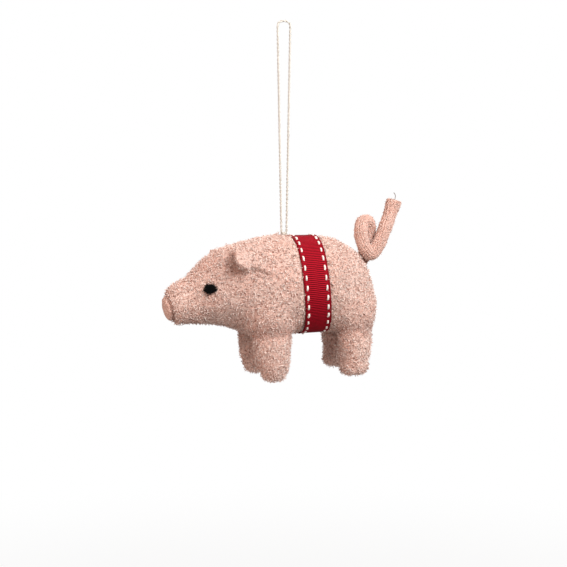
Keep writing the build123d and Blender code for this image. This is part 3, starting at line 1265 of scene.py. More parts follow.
    def stuff(self, piece: Object, seams: np.ndarray) -> None:
        """Swell the skin between its seams with a cloth simulation.

        The skin is enlarged while it swells, because cloth is tuned for pieces of that size.

        Args:
            piece: Skin to swell.
            seams: How firmly each vertex is held, from 0 to 1.
        """
        before = positions(piece)
        move_to(piece, before * self.enlarged)
        held = piece.vertex_groups.new(name="seams")
        for index in np.nonzero(seams > 0.02)[0]:
            held.add([int(index)], float(seams[index]), "REPLACE")
        cloth = piece.modifiers.new("stuffing", "CLOTH")
        cloth.settings.quality = self.cloth_quality
        cloth.settings.mass = self.cloth_mass
        cloth.settings.tension_stiffness = self.stretch_stiffness
        cloth.settings.compression_stiffness = self.stretch_stiffness
        cloth.settings.bending_stiffness = self.bending_stiffness
        cloth.settings.use_pressure = True
        cloth.settings.uniform_pressure_force = self.pressure
        cloth.settings.effector_weights.gravity = 0
        cloth.settings.vertex_group_mass = "seams"
        cloth.collision_settings.use_collision = False
        scene = bpy.context.scene
        for number in range(self.swell_frames):
            scene.frame_set(number + 1)
        graph = bpy.context.evaluated_depsgraph_get()
        swollen = piece.evaluated_get(graph).data
        flat = np.zeros(len(before) * 3)
        swollen.vertices.foreach_get("co", flat)
        piece.modifiers.clear()
        piece.vertex_groups.clear()
        scene.frame_set(1)
        moves = flat.reshape(-1, 3) / self.enlarged - before
        far = np.linalg.norm(moves, axis=1)
        most, middle = far.max() / MM, np.median(far) / MM
        log.info("stuffing moved the hide up to %.2f mm, middle %.2f mm", most, middle)
        cap = self.puff * MM
        share = cap * np.tanh(far / cap) / np.maximum(far, 1e-9)
        move_to(piece, before + moves * share[:, None])

    def settle(self, piece: Object, trees: list[BVHTree]) -> None:
        """Shape the sewn details and write where nap grows and where painted shade darkens the
        creases.

        Args:
            piece: The swollen skin.
            trees: Search trees of the torso and the legs.
        """
        points = positions(piece)
        out = normals(piece)
        seams = self.seam_closeness(points, trees)
        mm = points / MM
        # The ribbon presses a shallow groove and calms the cloth; the seams pull it in.
        belt_run = np.abs(self.belt.off_middle(mm))
        in_body = (mm[:, 2] > BELLY - 3).astype(float)
        under_belt = (1 - smoothstep(6.0, 10.0, belt_run)) * in_body
        calm = 1 - 0.85 * under_belt
        rise = swelling(points, self.swells) * calm - 0.5 * seams - 0.35 * under_belt
        # The twine sinks into a pit in the back, with a pucker round it.
        reach = np.linalg.norm(mm - np.array((0, 0, BACK)), axis=1)
        rise += 0.7 * calm**2 * np.exp(-(((reach - 4.6) / 1.3) ** 2))
        rise -= 2.6 * (1 - smoothstep(1.6, 3.9, reach))
        # Each eye sits in a dent.
        seats = [np.linalg.norm(mm - FeltEye(side).frame()[0], axis=1) for side in Side]
        by_eye = 1 - smoothstep(3.0, 4.6, np.min(seats, axis=0))
        # The nap needs room, so the cloth under it is taken in, but not low on the rump.
        low_rump = smoothstep(38.0, 50.0, mm[:, 0]) * (1 - smoothstep(8.0, 30.0, mm[:, 2] - BELLY))
        trim = (1.0 + 0.3 * out[:, 2]) * smoothstep(BELLY - 2, BELLY + 8, mm[:, 2]) * (1 - low_rump)
        rise -= 0.5 * by_eye + trim * smoothstep(-64.0, -57.0, mm[:, 0])
        points = points + out * rise[:, None] * MM
        for side in Side:
            points = self.raise_ear_fold(points, side)
        # A tuck rings the snout patch, with a low ridge outside it.
        tuck = 0.7 * self.muzzle_ring(points, 7.5, 0.8) - 0.2 * self.muzzle_ring(points, 9.2, 1.0)
        points = points + np.outer(tuck, self.muzzle_back()) * MM
        move_to(piece, points)
        # No nap grows under the ribbon, at the twine's pit or on the eyes.
        bare = (1 - smoothstep(7.0, 8.0, belt_run)) * in_body
        whole = np.clip(1 - bare, 0, 1) * (reach > 4.0) * (1 - by_eye)
        ahead = mm[:, 0] < 0
        write_share(piece, "nap", whole)
        write_share(piece, "nap_ahead", whole * ahead)
        write_share(piece, "nap_behind", whole * ~ahead)
        # Painted shade darkens the seams, the tuck round the snout patch and the hollow ahead of
        # each ear.
        shades = [0.35 * seams, 0.35 * self.muzzle_ring(points, 7.6, 0.8)]
        for side in Side:
            cup = self.ears.seat(side) + self.ears.on(side, "forward") * 10.0
            away = np.linalg.norm(mm - cup - self.ears.on(side, "along") * 2.0, axis=1)
            shades.append(0.22 * np.exp(-((away / 14.0) ** 2)))
        write_share(piece, "shade", np.max(shades, axis=0))

    def muzzle_back(self) -> np.ndarray:
        """Direction from the muzzle's flat end into the head."""
        tip = math.radians(self.torso[0][4])
        return np.array((math.cos(tip), 0, math.sin(tip)))

    def muzzle_ring(self, points: np.ndarray, radius: float, breadth: float) -> np.ndarray:
        """How near points are to a ring round the snout patch.

        Args:
            points: Points in metres.
            radius: Radius of the ring in millimetres.
            breadth: Half its breadth.

        Returns:
            Values from 0, away from the ring, to 1 on it.
        """
        away = points / MM - np.array((self.torso[0][0], 0, BACK - self.torso[0][1]))
        depth = away @ self.muzzle_back()
        from_axis = np.linalg.norm(away - np.outer(depth, self.muzzle_back()), axis=1)
        return np.exp(-(((from_axis - radius) / breadth) ** 2)) * (1 - smoothstep(1.5, 5.0, depth))

    def raise_ear_fold(self, points: np.ndarray, side: Side) -> np.ndarray:
        """Raise the fold of cloth behind an ear, which runs out into the head.

        Args:
            points: Points in metres.
            side: Side of the pig.

        Returns:
            The moved points.
        """
        from_root = points / MM - self.ears.seat(side)
        outward = self.ears.on(side, "outward")
        along = from_root @ self.ears.on(side, "along")
        behind = from_root @ -self.ears.on(side, "forward")
        level = np.abs(from_root @ outward)
        body = smoothstep(-2.2, 0.0, behind) * (1 - smoothstep(0.5, 14.0, behind))
        low_end = along - 0.85 * np.maximum(behind, 0)
        ends = smoothstep(-12.0, -5.0, along) * (1 - smoothstep(7.0, 9.0, low_end))
        rise = 2.6 * body * ends * (level < 9)
        return points + outward * rise[:, None] * MM

    def one_skin(self, parts: list[Object], rounds: int) -> Object:
        """Merge closed skins into one even skin.

        Args:
            parts: Pieces to merge; they are used up.
            rounds: Smoothing rounds afterwards.

        Returns:
            The merged skin.
        """
        skin = join(parts, "wool_hide")
        remesh = skin.modifiers.new("one_skin", "REMESH")
        remesh.mode = "VOXEL"
        remesh.voxel_size = self.voxel * MM
        soften = skin.modifiers.new("soften", "SMOOTH")
        soften.factor = 0.5
        soften.iterations = rounds
        return bake(skin)

    def ease_haunches(self, body: Object) -> None:
        """Smooth the body where the swells over the legs join it.

        Args:
            body: The merged body and swells.
        """
        before = positions(body)
        soften = body.modifiers.new("soften", "SMOOTH")
        soften.factor = 0.5
        soften.iterations = 70
        bake(body)
        near = np.zeros(len(before))
        for place, _, _ in self.legs:
            for side in Side:
                middle = (place, side.value * self.haunch_spacing / 2, BELLY + self.haunch_rise)
                away = np.linalg.norm(before / MM - np.array(middle), axis=1)
                near = np.maximum(near, 1 - smoothstep(17.0, 28.0, away))
        move_to(body, before + (positions(body) - before) * near[:, None])

    def build(self, material: Material) -> Object:
        """Make the hide.

        Args:
            material: Wool finish.

        Returns:
            The hide as one mesh.
        """
        bodies, legs = [self.torso_skin()], []
        rows = zip(self.legs, self.haunches, self.soles, self.sole_shifts)
        for leg, haunch, toe, shifts in rows:
            for side, shift in zip(Side, shifts):
                bodies.append(self.haunch_skin(leg[0], side, haunch))
                legs.append(self.leg_skin(leg, side, toe, shift))
        body = self.one_skin([new_piece("skin", *skin, material) for skin in bodies], 0)
        self.ease_haunches(body)
        trees = [BVHTree.FromObject(body, bpy.context.evaluated_depsgraph_get())]
        trees += [BVHTree.FromPolygons([tuple(p) for p in points], faces) for points, faces in legs]
        hide = self.one_skin([body] + [new_piece("leg", *skin, material) for skin in legs], 4)
        seams = self.seam_closeness(positions(hide), trees)
        belt_run = self.belt.off_middle(positions(hide) / MM)
        held = np.maximum(seams, 1 - smoothstep(5.0, 8.0, np.abs(belt_run)))
        self.stuff(hide, np.clip(held, 0, 1))
        self.settle(refine(hide), trees)
        return hide

    def dress(self, hide: Object) -> None:
        """Args:
            hide: The finished hide.
        """
        nodes = ["body_skin", "body_fill", "head_skin", "head_fill"]
        for end in ("front", "rear"):
            for side in ("left", "right"):
                nodes += [f"{end}_{side}_leg_skin", f"{end}_{side}_leg_fill"]
        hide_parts(*nodes)
        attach(hide, "pig")


@dataclass
class SnoutPatch:
    """The wool disc sewn on the flat end of the muzzle."""

    middle: Triple = (-66.0, 0.0, -156.4)
    lean: float = 12.5
    width: float = 14.6
    height: float = 13.0
    foot: float = -1.0
    edge_steps: int = 72
    profile: tuple[tuple[float, float], ...] = (
        (0.97, -1.4),
        (0.99, 0.0),
        (1.03, 0.6),
        (1.02, 1.2),
        (0.96, 1.8),
        (0.86, 2.3),
        (0.7, 2.7),
        (0.5, 3.0),
        (0.3, 3.15),
        (0.12, 3.2),
    )
    swells: tuple[Swell, ...] = (Swell(4.5, 3.1, 0.35), Swell(2.0, 6.1, 0.12))

    def build(self, material: Material) -> Object:
        """Make the disc with a soft, rounded edge.

        Args:
            material: Wool finish.

        Returns:
            The disc.
        """
        tip = math.radians(self.lean)
        ahead = -np.array((math.cos(tip), 0, math.sin(tip)))
        up = np.array((-math.sin(tip), 0, math.cos(tip)))
        middle = np.array(self.middle)
        axes = np.array((0, self.width / 2, 0)), up * self.height / 2, ahead
        edge = np.ones(self.edge_steps)
        disc = domed_pad("snout_patch", middle, axes, self.profile, edge, self.foot, material)
        # Painted shade darkens the disc's foot, where it meets the muzzle.
        depth = (positions(disc) / MM - middle) @ ahead
        write_share(disc, "shade", 0.5 * (1 - smoothstep(0.3, 1.3, depth)))
        make_uneven(disc, self.swells)
        return disc

    def dress(self, disc: Object) -> None:
        """Args:
            disc: The finished disc.
        """
        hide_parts("snout_disc")
        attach(disc, "pig")


@dataclass
class FeltEye:
    """A needle-felted eye on one side of the head."""

    side: Side
    seat: Triple = (-46.9, 16.5, -144.3)
    outward: Triple = (-0.3733, 0.9104, 0.1786)
    along: Triple = (0.9044, 0.4, -0.1486)
    length: float = 7.2
    height: float = 5.8
    edge_steps: int = 56
    profile: tuple[tuple[float, float], ...] = (
        (1.0, -1.6),
        (1.02, -0.2),
        (1.0, 0.35),
        (0.93, 0.75),
        (0.8, 1.05),
        (0.6, 1.28),
        (0.38, 1.42),
        (0.15, 1.5),
    )
    swells: tuple[Swell, ...] = (Swell(1.3, 2.2, 0.22),)

    def frame(self) -> tuple[np.ndarray, np.ndarray, np.ndarray, np.ndarray]:
        """Seat and directions of the eye on its side.

        Returns:
            Seat in millimetres, and the directions along, up and out of the eye.
        """
        mirror = np.array((1, self.side.value, 1))
        out = np.array(self.outward) * mirror
        along = np.array(self.along) * mirror
        return np.array(self.seat) * mirror, along, np.cross(out, along), out

    def build(self, felt: Material) -> Object:
        """Make the felted pad and its stray fibres.

        Args:
            felt: Black felt finish.

        Returns:
            The eye.
        """
        seat, along, over, out = self.frame()
        axes = along * self.length / 2, over * self.height / 2, out
        around = np.linspace(0, 2 * math.pi, self.edge_steps, endpoint=False)
        # The felt is pushed into place with a needle, so its edge is uneven.
        edge = 0.88 + 0.06 * np.sin(3 * around + 0.7) + 0.05 * np.sin(5 * around + 2.1)
        edge += 0.04 * np.sin(9 * around + 1.1) + 0.07 * np.cos(2 * around - 0.9)
        name = f"{self.side.name.lower()}_felt_eye"
        eye = domed_pad(name, seat, axes, self.profile, edge, self.profile[0][1], felt)
        make_uneven(eye, self.swells)
        fuzz = NapGrower(density=8.0, length=0.6, thickness=0.09, most_tilt=88, seed=5)
        stray = NapGrower(0.14, length=3.2, thickness=0.3, least_tilt=70, most_tilt=86, seed=9)
        naps = [fuzz.over(eye, "eye_fuzz", felt), stray.over(eye, "eye_strays", felt)]
        return join([eye] + naps, eye.name)

    def dress(self, eye: Object) -> None:
        """Args:
            eye: The finished eye.
        """
        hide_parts(f"{self.side.name.lower()}_eye")
        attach(eye, "pig")


@dataclass
class CuppedEar:
    """One ear: a cupped wool leaf that leaves the head in a fold."""

    side: Side
    base: float = 14.5
    length: float = 10.5
    tip_shift: float = 3.2
    tip_narrowing: float = 0.9
    front_bow: float = 2.6
    lower_bow: float = 1.6
    thickness: float = 2.0
    cup_radius: float = 20.0
    tip_curl: float = 1.2
    sunk: float = 2.6
    rises: tuple[float, ...] = (-1, -0.5, 0, 0.12, 0.25, 0.4, 0.55, 0.7, 0.82, 0.91, 0.97, 1)
    swells: tuple[Swell, ...] = (Swell(5.0, 7.7, 0.3),)
    place: EarPlace = field(default_factory=EarPlace)

    def leaf_point(self, across: float, rise: float) -> np.ndarray:
        """A point of the leaf's middle layer.

        Args:
            across: From -1 at the upper edge to 1 at the lower edge.
            rise: From 0 at the sewn edge to 1 at the tip, and less than 0 inside the head.

        Returns:
            The point in millimetres.
        """
        half = self.base / 2
        lift = max(rise, 0.0)
        bow = 4 * lift * (1 - lift)
        narrow = 1 - lift**1.6 * self.tip_narrowing
        upper = -half * narrow + self.tip_shift * lift - self.front_bow * bow * 0.9
        lower = half * narrow + self.tip_shift * lift + self.lower_bow * bow * 0.9
        reach = upper + (across + 1) / 2 * (lower - upper)
        curl = reach / self.cup_radius
        height = self.length * rise if rise >= 0 else self.sunk * rise
        tip_curl = self.tip_curl * lift**2
        return (
            self.place.seat(self.side)
            + self.place.on(self.side, "along") * self.cup_radius * math.sin(curl)
            + self.place.on(self.side, "stand") * height
            + self.place.on(self.side, "cup")
            * (self.cup_radius * (1 - math.cos(curl)) + tip_curl)
        )

    def build(self, material: Material) -> Object:
        """Make the leaf with its thickness and rounded edge.

        Args:
            material: Wool finish.

        Returns:
            The ear.
        """
        spans = np.linspace(-1, 1, 15)
        points = np.array([self.leaf_point(span, rise) for rise in self.rises for span in spans])
        faces = grid_faces(len(self.rises), len(spans))
        ear = new_piece(f"{self.side.name.lower()}_wool_ear", points * MM, faces, material)
        wall = ear.modifiers.new("wall", "SOLIDIFY")
        wall.thickness = self.thickness * MM
        wall.offset = 0
        wall.use_even_offset = True
        make_uneven(refine(ear, 2), self.swells)
        return ear

    def dress(self, ear: Object) -> None:
        """Args:
            ear: The finished ear.
        """
        name = f"{self.side.name.lower()}_ear"
        root = self.place.seat(self.side)
        stand = self.place.on(self.side, "stand")
        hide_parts(name)
        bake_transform(ear)


@dataclass
class CurlyTail:
    """The rolled wool tail with its cut tip and the thread that gathers it."""

    seat: Triple = (47.1232, 3.6, -134.4901)
    normal: Triple = (0.8708, 0.1222, 0.4762)
    route: tuple[Triple, ...] = (
        (50.2581, 4.0399, -132.7757),
        (53.6581, 4.0399, -111.2757),
        (45.3581, 0.4399, -111.2757),
        (45.3581, -3.1601, -124.2757),
        (53.8581, -3.1601, -133.1757),
        (66.2581, 0.4399, -99.2757),
    )
    diameter: float = 7.5
    tip_diameter: float = 8.8
    flare: float = 9.0
    ring_step: float = 0.55
    strand: float = 0.3
    strands: int = 15
    twist: float = 0.012
    lap_turn: float = 2.4
    sunk: float = 3.0
    swells: tuple[Swell, ...] = (Swell(5.5, 5.3, 0.32), Swell(2.4, 1.3, 0.12))
    # Distance beyond the tip, and then shifts along X and Z.
    thread_route: tuple[Triple, ...] = (
        (-3.0, 0.0, 0.0), (0.6, 0.0, 0.0), (2.2, 0.2, 0.0), (3.6, -0.9, 0.3), (4.2, -1.8, 0.3)
    )

    def line(self) -> np.ndarray:
        """Trace the tail's middle.

        Returns:
            Points from inside the rump to the tip, in metres.
        """
        inside = np.array(self.seat) - np.array(self.normal) * self.sunk
        points = [tuple(inside * MM)] + [tuple(np.array(point) * MM) for point in self.route]
        return nurbs_line("tail_line", points, 3)

    def build(self, material: Material) -> Object:
        """Make the rolled tube with its lapped edge and the roll's spiral at the cut tip.

        Args:
            material: Wool finish.

        Returns:
            The tail.
        """
        line = self.line()
        gaps = np.linalg.norm(np.diff(line, axis=0), axis=1)
        at = np.concatenate([[0], np.cumsum(gaps)]) / MM
        even = np.arange(0, at[-1], self.ring_step)
        path = np.stack([np.interp(even, at, line[:, axis]) for axis in range(3)], axis=1)
        runs, sides, crosses = carried_frames(path, Vector((0, 1, 0)))
        around = np.linspace(0, 2 * math.pi, 120, endpoint=False)
        wound = around / (2 * math.pi)
        roll = 0.94 + 0.1 * wound - 0.1 * smoothstep(0.93, 1.0, wound)
        near_tip = 1 - smoothstep(0, self.flare, even[-1] - even)
        radii = self.diameter / 2 + (self.tip_diameter - self.diameter) / 2 * near_tip
        rings, shades = [], []
        for number, far in enumerate(even):
            turn = around + self.twist * far + self.lap_turn
            spread = np.outer(np.cos(turn), sides[number]) + np.outer(np.sin(turn), crosses[number])
            # Strands of the cloth run along the tail, and sway and fade as they go.
            lines = np.cos(self.strands * around + 0.55 * far + 1.5 * np.sin(0.3 * far))
            lines *= 0.6 + 0.4 * np.sin(4 * around + 0.2 * far)
            thick = radii[number] * roll + self.strand * lines
            rings.append(path[number] + spread * (thick * MM)[:, None])
            # Painted shade darkens the hollows between the strands.
            shades.append(0.42 * smoothstep(0.2, 0.9, -lines))
        # The cut tip goes on from the last ring, with the roll's spiral sunk into it.
        for share in np.linspace(0.93, 0.06, 16):
            groove = np.cos(2 * math.pi * (share * 2.1 - wound)) * 0.5 + 0.5
            depth = 0.25 + 0.55 * groove**3 - 0.3 * (1 - share)
            ring = path[-1] + spread * (radii[-1] * roll * share * MM)[:, None]
            rings.append(ring + np.outer((0.5 - depth) * MM, runs[-1]))
            # Painted shade darkens the spiral's groove at the cut tip.
            shades.append(0.6 * groove**2)
        ends = np.array([path[0], path[-1] + runs[-1] * 0.2 * MM])
        points = np.concatenate(rings + [ends])
        tail = new_piece("rolled_tail", points, ring_faces(len(rings), len(around)), material)
        write_share(tail, "shade", np.concatenate(shades + [np.zeros(2)]))
        make_uneven(tail, self.swells)
        return tail

    def build_thread(self, thread: Material) -> Object:
        """Make the loose thread end that stands out of the tip.

        Args:
            thread: Grey thread finish.

        Returns:
            The thread.
        """
        line = self.line()
        run = line[-1] - line[-2]
        run /= np.linalg.norm(run)
        points = [
            tuple(line[-1] + (run * out + np.array((aside, 0, lift))) * MM)
            for out, aside, lift in self.thread_route
        ]
        path = path_piece("tail_thread_end", nurbs_line("thread_line", points, 4), thread)
        return grow(path, ply_tree("thread_plies", thread), ply_sizes(0.14, 0.11, 1.1, 0.12))

    def dress(self, tail: Object, thread: Object) -> None:
        """Keep the tail where it was built, so that its root stays on the rump, and attach the
        thread to the tail's frame.

        Args:
            tail: The finished tail.
            thread: The thread end at its tip.
        """
        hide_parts("tail_roll")
        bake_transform(tail)
        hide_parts("tail_thread")
        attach(thread, "tail")


def ply_sizes(ply: float, helix: float, pitch: float, step: float) -> dict[str, float]:
    """Inputs of a ply tree: ply radius, helix radius, pitch and step, from millimetres."""
    names = ("Ply radius", "Helix radius", "Pitch", "Step")
    return {name: size * MM for name, size in zip(names, (ply, helix, pitch, step))}


def ply_tree(name: str, material: Material) -> NodeTree:
    """Tree that turns a path into two plies twisted round each other.

    Args:
        name: Name of the tree.
        material: Finish of the yarn.

    Returns:
        The tree.
    """
    tree, entry = open_tree(
        name, {"Ply radius": 0.1, "Helix radius": 0.1, "Pitch": 1.0, "Step": 0.1}
    )
    curve = put(tree, "GeometryNodeMeshToCurve", {"Mesh": entry.outputs["Geometry"]})
    even = put(
        tree,
        "GeometryNodeResampleCurve",
        {"Curve": curve, "Length": entry.outputs["Step"]},
        mode="LENGTH",
    )
    along = put(tree, "GeometryNodeSplineParameter")
    turns = put(
        tree,
        "ShaderNodeMath",
        {0: along.outputs["Length"], 1: entry.outputs["Pitch"]},
        operation="DIVIDE",
    )
    side = put(tree, "GeometryNodeInputNormal")
    run = put(tree, "GeometryNodeInputTangent")
    cross = put(tree, "ShaderNodeVectorMath", {0: run, 1: side}, operation="CROSS_PRODUCT")
    section = put(
        tree,
        "GeometryNodeCurvePrimitiveCircle",
        {"Resolution": 9, "Radius": entry.outputs["Ply radius"]},
    )
    both = put(tree, "GeometryNodeJoinGeometry")
    for phase in (0.0, math.pi):
        angle = put(
            tree, "ShaderNodeMath", {0: turns, 1: 2 * math.pi, 2: phase}, operation="MULTIPLY_ADD"
        )
        sideways = put(tree, "ShaderNodeMath", {0: angle}, operation="COSINE")
        upways = put(tree, "ShaderNodeMath", {0: angle}, operation="SINE")
        one = put(tree, "ShaderNodeVectorMath", {0: side, "Scale": sideways}, operation="SCALE")
        other = put(tree, "ShaderNodeVectorMath", {0: cross, "Scale": upways}, operation="SCALE")
        away = put(tree, "ShaderNodeVectorMath", {0: one, 1: other}, operation="ADD")
        offset = put(
            tree,
            "ShaderNodeVectorMath",
            {0: away, "Scale": entry.outputs["Helix radius"]},
            operation="SCALE",
        )
        wound = put(tree, "GeometryNodeSetPosition", {"Geometry": even, "Offset": offset})
        ply = put(
            tree,
            "GeometryNodeCurveToMesh",
            {"Curve": wound, "Profile Curve": section, "Fill Caps": True},
        )
        tree.links.new(ply.outputs[0], both.inputs[0])
    close_tree(tree, both.outputs[0], material)
    return tree


@dataclass
class TwineHanger:
    """The twine loop, its knot under the back seam and the thread that holds the knot."""

    route: tuple[Triple, ...] = (
        (-1.5, 0.0, -115.95),
        (-3.575, 0.0, -6.05),
        (-3.7, 0.0, 0.55),
        (3.7, 0.0, 0.55),
        (3.575, 0.0, -6.05),
        (1.5, 0.0, -115.95),
    )
    diameter: float = 1.1
    length: float = 237.5
    # The twist of so thin a twine is drawn about twice as coarse as it is, so that it shows;
    # in the knot, which is out of sight, it keeps its own pitch.
    pitch: float = 4.4
    ply_radius: float = 0.36
    helix_radius: float = 0.33
    knot_pitch: float = 2.3
    knot_ply_radius: float = 0.29
    knot_helix_radius: float = 0.24
    knot_step: float = 0.2
    knot_middle: Triple = (0.0, 0.0, BACK)
    knot_reach: float = 2.3
    wraps: int = 6
    wrap_radius: float = 2.6
    wrap_drop: float = 0.4
    thread_radius: float = 0.22

    def build(self, cotton: Material) -> tuple[Object, np.ndarray]:
        """Make the loop of two-ply twine.

        Args:
            cotton: Twine finish.

        Returns:
            The loop and the line that it follows.
        """
        line = nurbs_line("twine_line", [tuple(c * MM for c in point) for point in self.route], 3)
        loop = path_piece("twine_loop_plies", line, cotton)
        sizes = ply_sizes(self.ply_radius, self.helix_radius, self.pitch, self.pitch / 12)
        return grow(loop, ply_tree("twine_plies", cotton), sizes), line

    def build_knot(self, cotton: Material) -> Object:
        """Make the overhand knot in the twine.

        Args:
            cotton: Twine finish.

        Returns:
            The knot.
        """
        turn = np.linspace(0, 2 * math.pi, 160, endpoint=False)
        wide = 2 + np.cos(3 * turn)
        knot = np.stack(
            [wide * np.cos(2 * turn), wide * np.sin(2 * turn), 1.25 * np.sin(3 * turn)], axis=1
        )
        knot *= (self.knot_reach - self.diameter / 2) / 3
        points = (knot + np.array(self.knot_middle)) * MM
        path = path_piece("twine_knot", points, cotton, closed=True)
        sizes = ply_sizes(
            self.knot_ply_radius, self.knot_helix_radius, self.knot_pitch, self.knot_step
        )
        return grow(path, ply_tree("knot_plies", cotton), sizes)

    def build_wraps(self, thread: Material) -> Object:
        """Make the thread that cradles the knot in the seam.

        Args:
            thread: Thread finish.

        Returns:
            The wraps.
        """
        swing = np.linspace(-0.5 * math.pi, 0.5 * math.pi, 33)
        arc = np.stack([np.sin(swing), np.zeros_like(swing), -np.cos(swing)], axis=1)
        points = (arc * self.wrap_radius - np.array((0, 0, self.wrap_drop))) * MM
        path = path_piece("knot_wraps", points, thread)
        tree, entry = open_tree("cradle_wraps", {"Wraps": 6, "Thread radius": 0.1})
        curve = put(tree, "GeometryNodeMeshToCurve", {"Mesh": entry.outputs["Geometry"]})
        section = put(
            tree,
            "GeometryNodeCurvePrimitiveCircle",
            {"Resolution": 7, "Radius": entry.outputs["Thread radius"]},
        )
        strand = put(
            tree,
            "GeometryNodeCurveToMesh",
            {"Curve": curve, "Profile Curve": section, "Fill Caps": True},
        )
        spots = put(
            tree, "GeometryNodeMeshLine", {"Count": entry.outputs["Wraps"], "Offset": (0, 0, 0)}
        )
        number = put(tree, "GeometryNodeInputIndex")
        turn = math.pi / self.wraps
        angle = put(tree, "ShaderNodeMath", {0: number, 1: turn}, operation="MULTIPLY")
        facing = put(tree, "ShaderNodeCombineXYZ", {"Z": angle})
        placed = put(
            tree,
            "GeometryNodeInstanceOnPoints",
            {"Points": spots, "Instance": strand, "Rotation": facing},
        )
        moved = put(
            tree,
            "GeometryNodeTransform",
            {"Geometry": placed, "Translation": tuple(c * MM for c in self.knot_middle)},
        )
        close_tree(tree, moved.outputs[0], thread)
        return grow(path, tree, {"Wraps": self.wraps, "Thread radius": self.thread_radius * MM})

    def dress(self, loop: Object, line: np.ndarray, knot: Object, wraps: Object) -> None:
        """Args:
            loop: The twine loop.
            line: Points that the loop follows; not used.
            knot: The knot.
            wraps: The thread round the knot.
        """
        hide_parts("twine_loop")
        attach(loop, "loop")
        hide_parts("loop_knot")
        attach(knot, "knot")
        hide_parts("anchor_wraps")
        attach(wraps, "wraps")


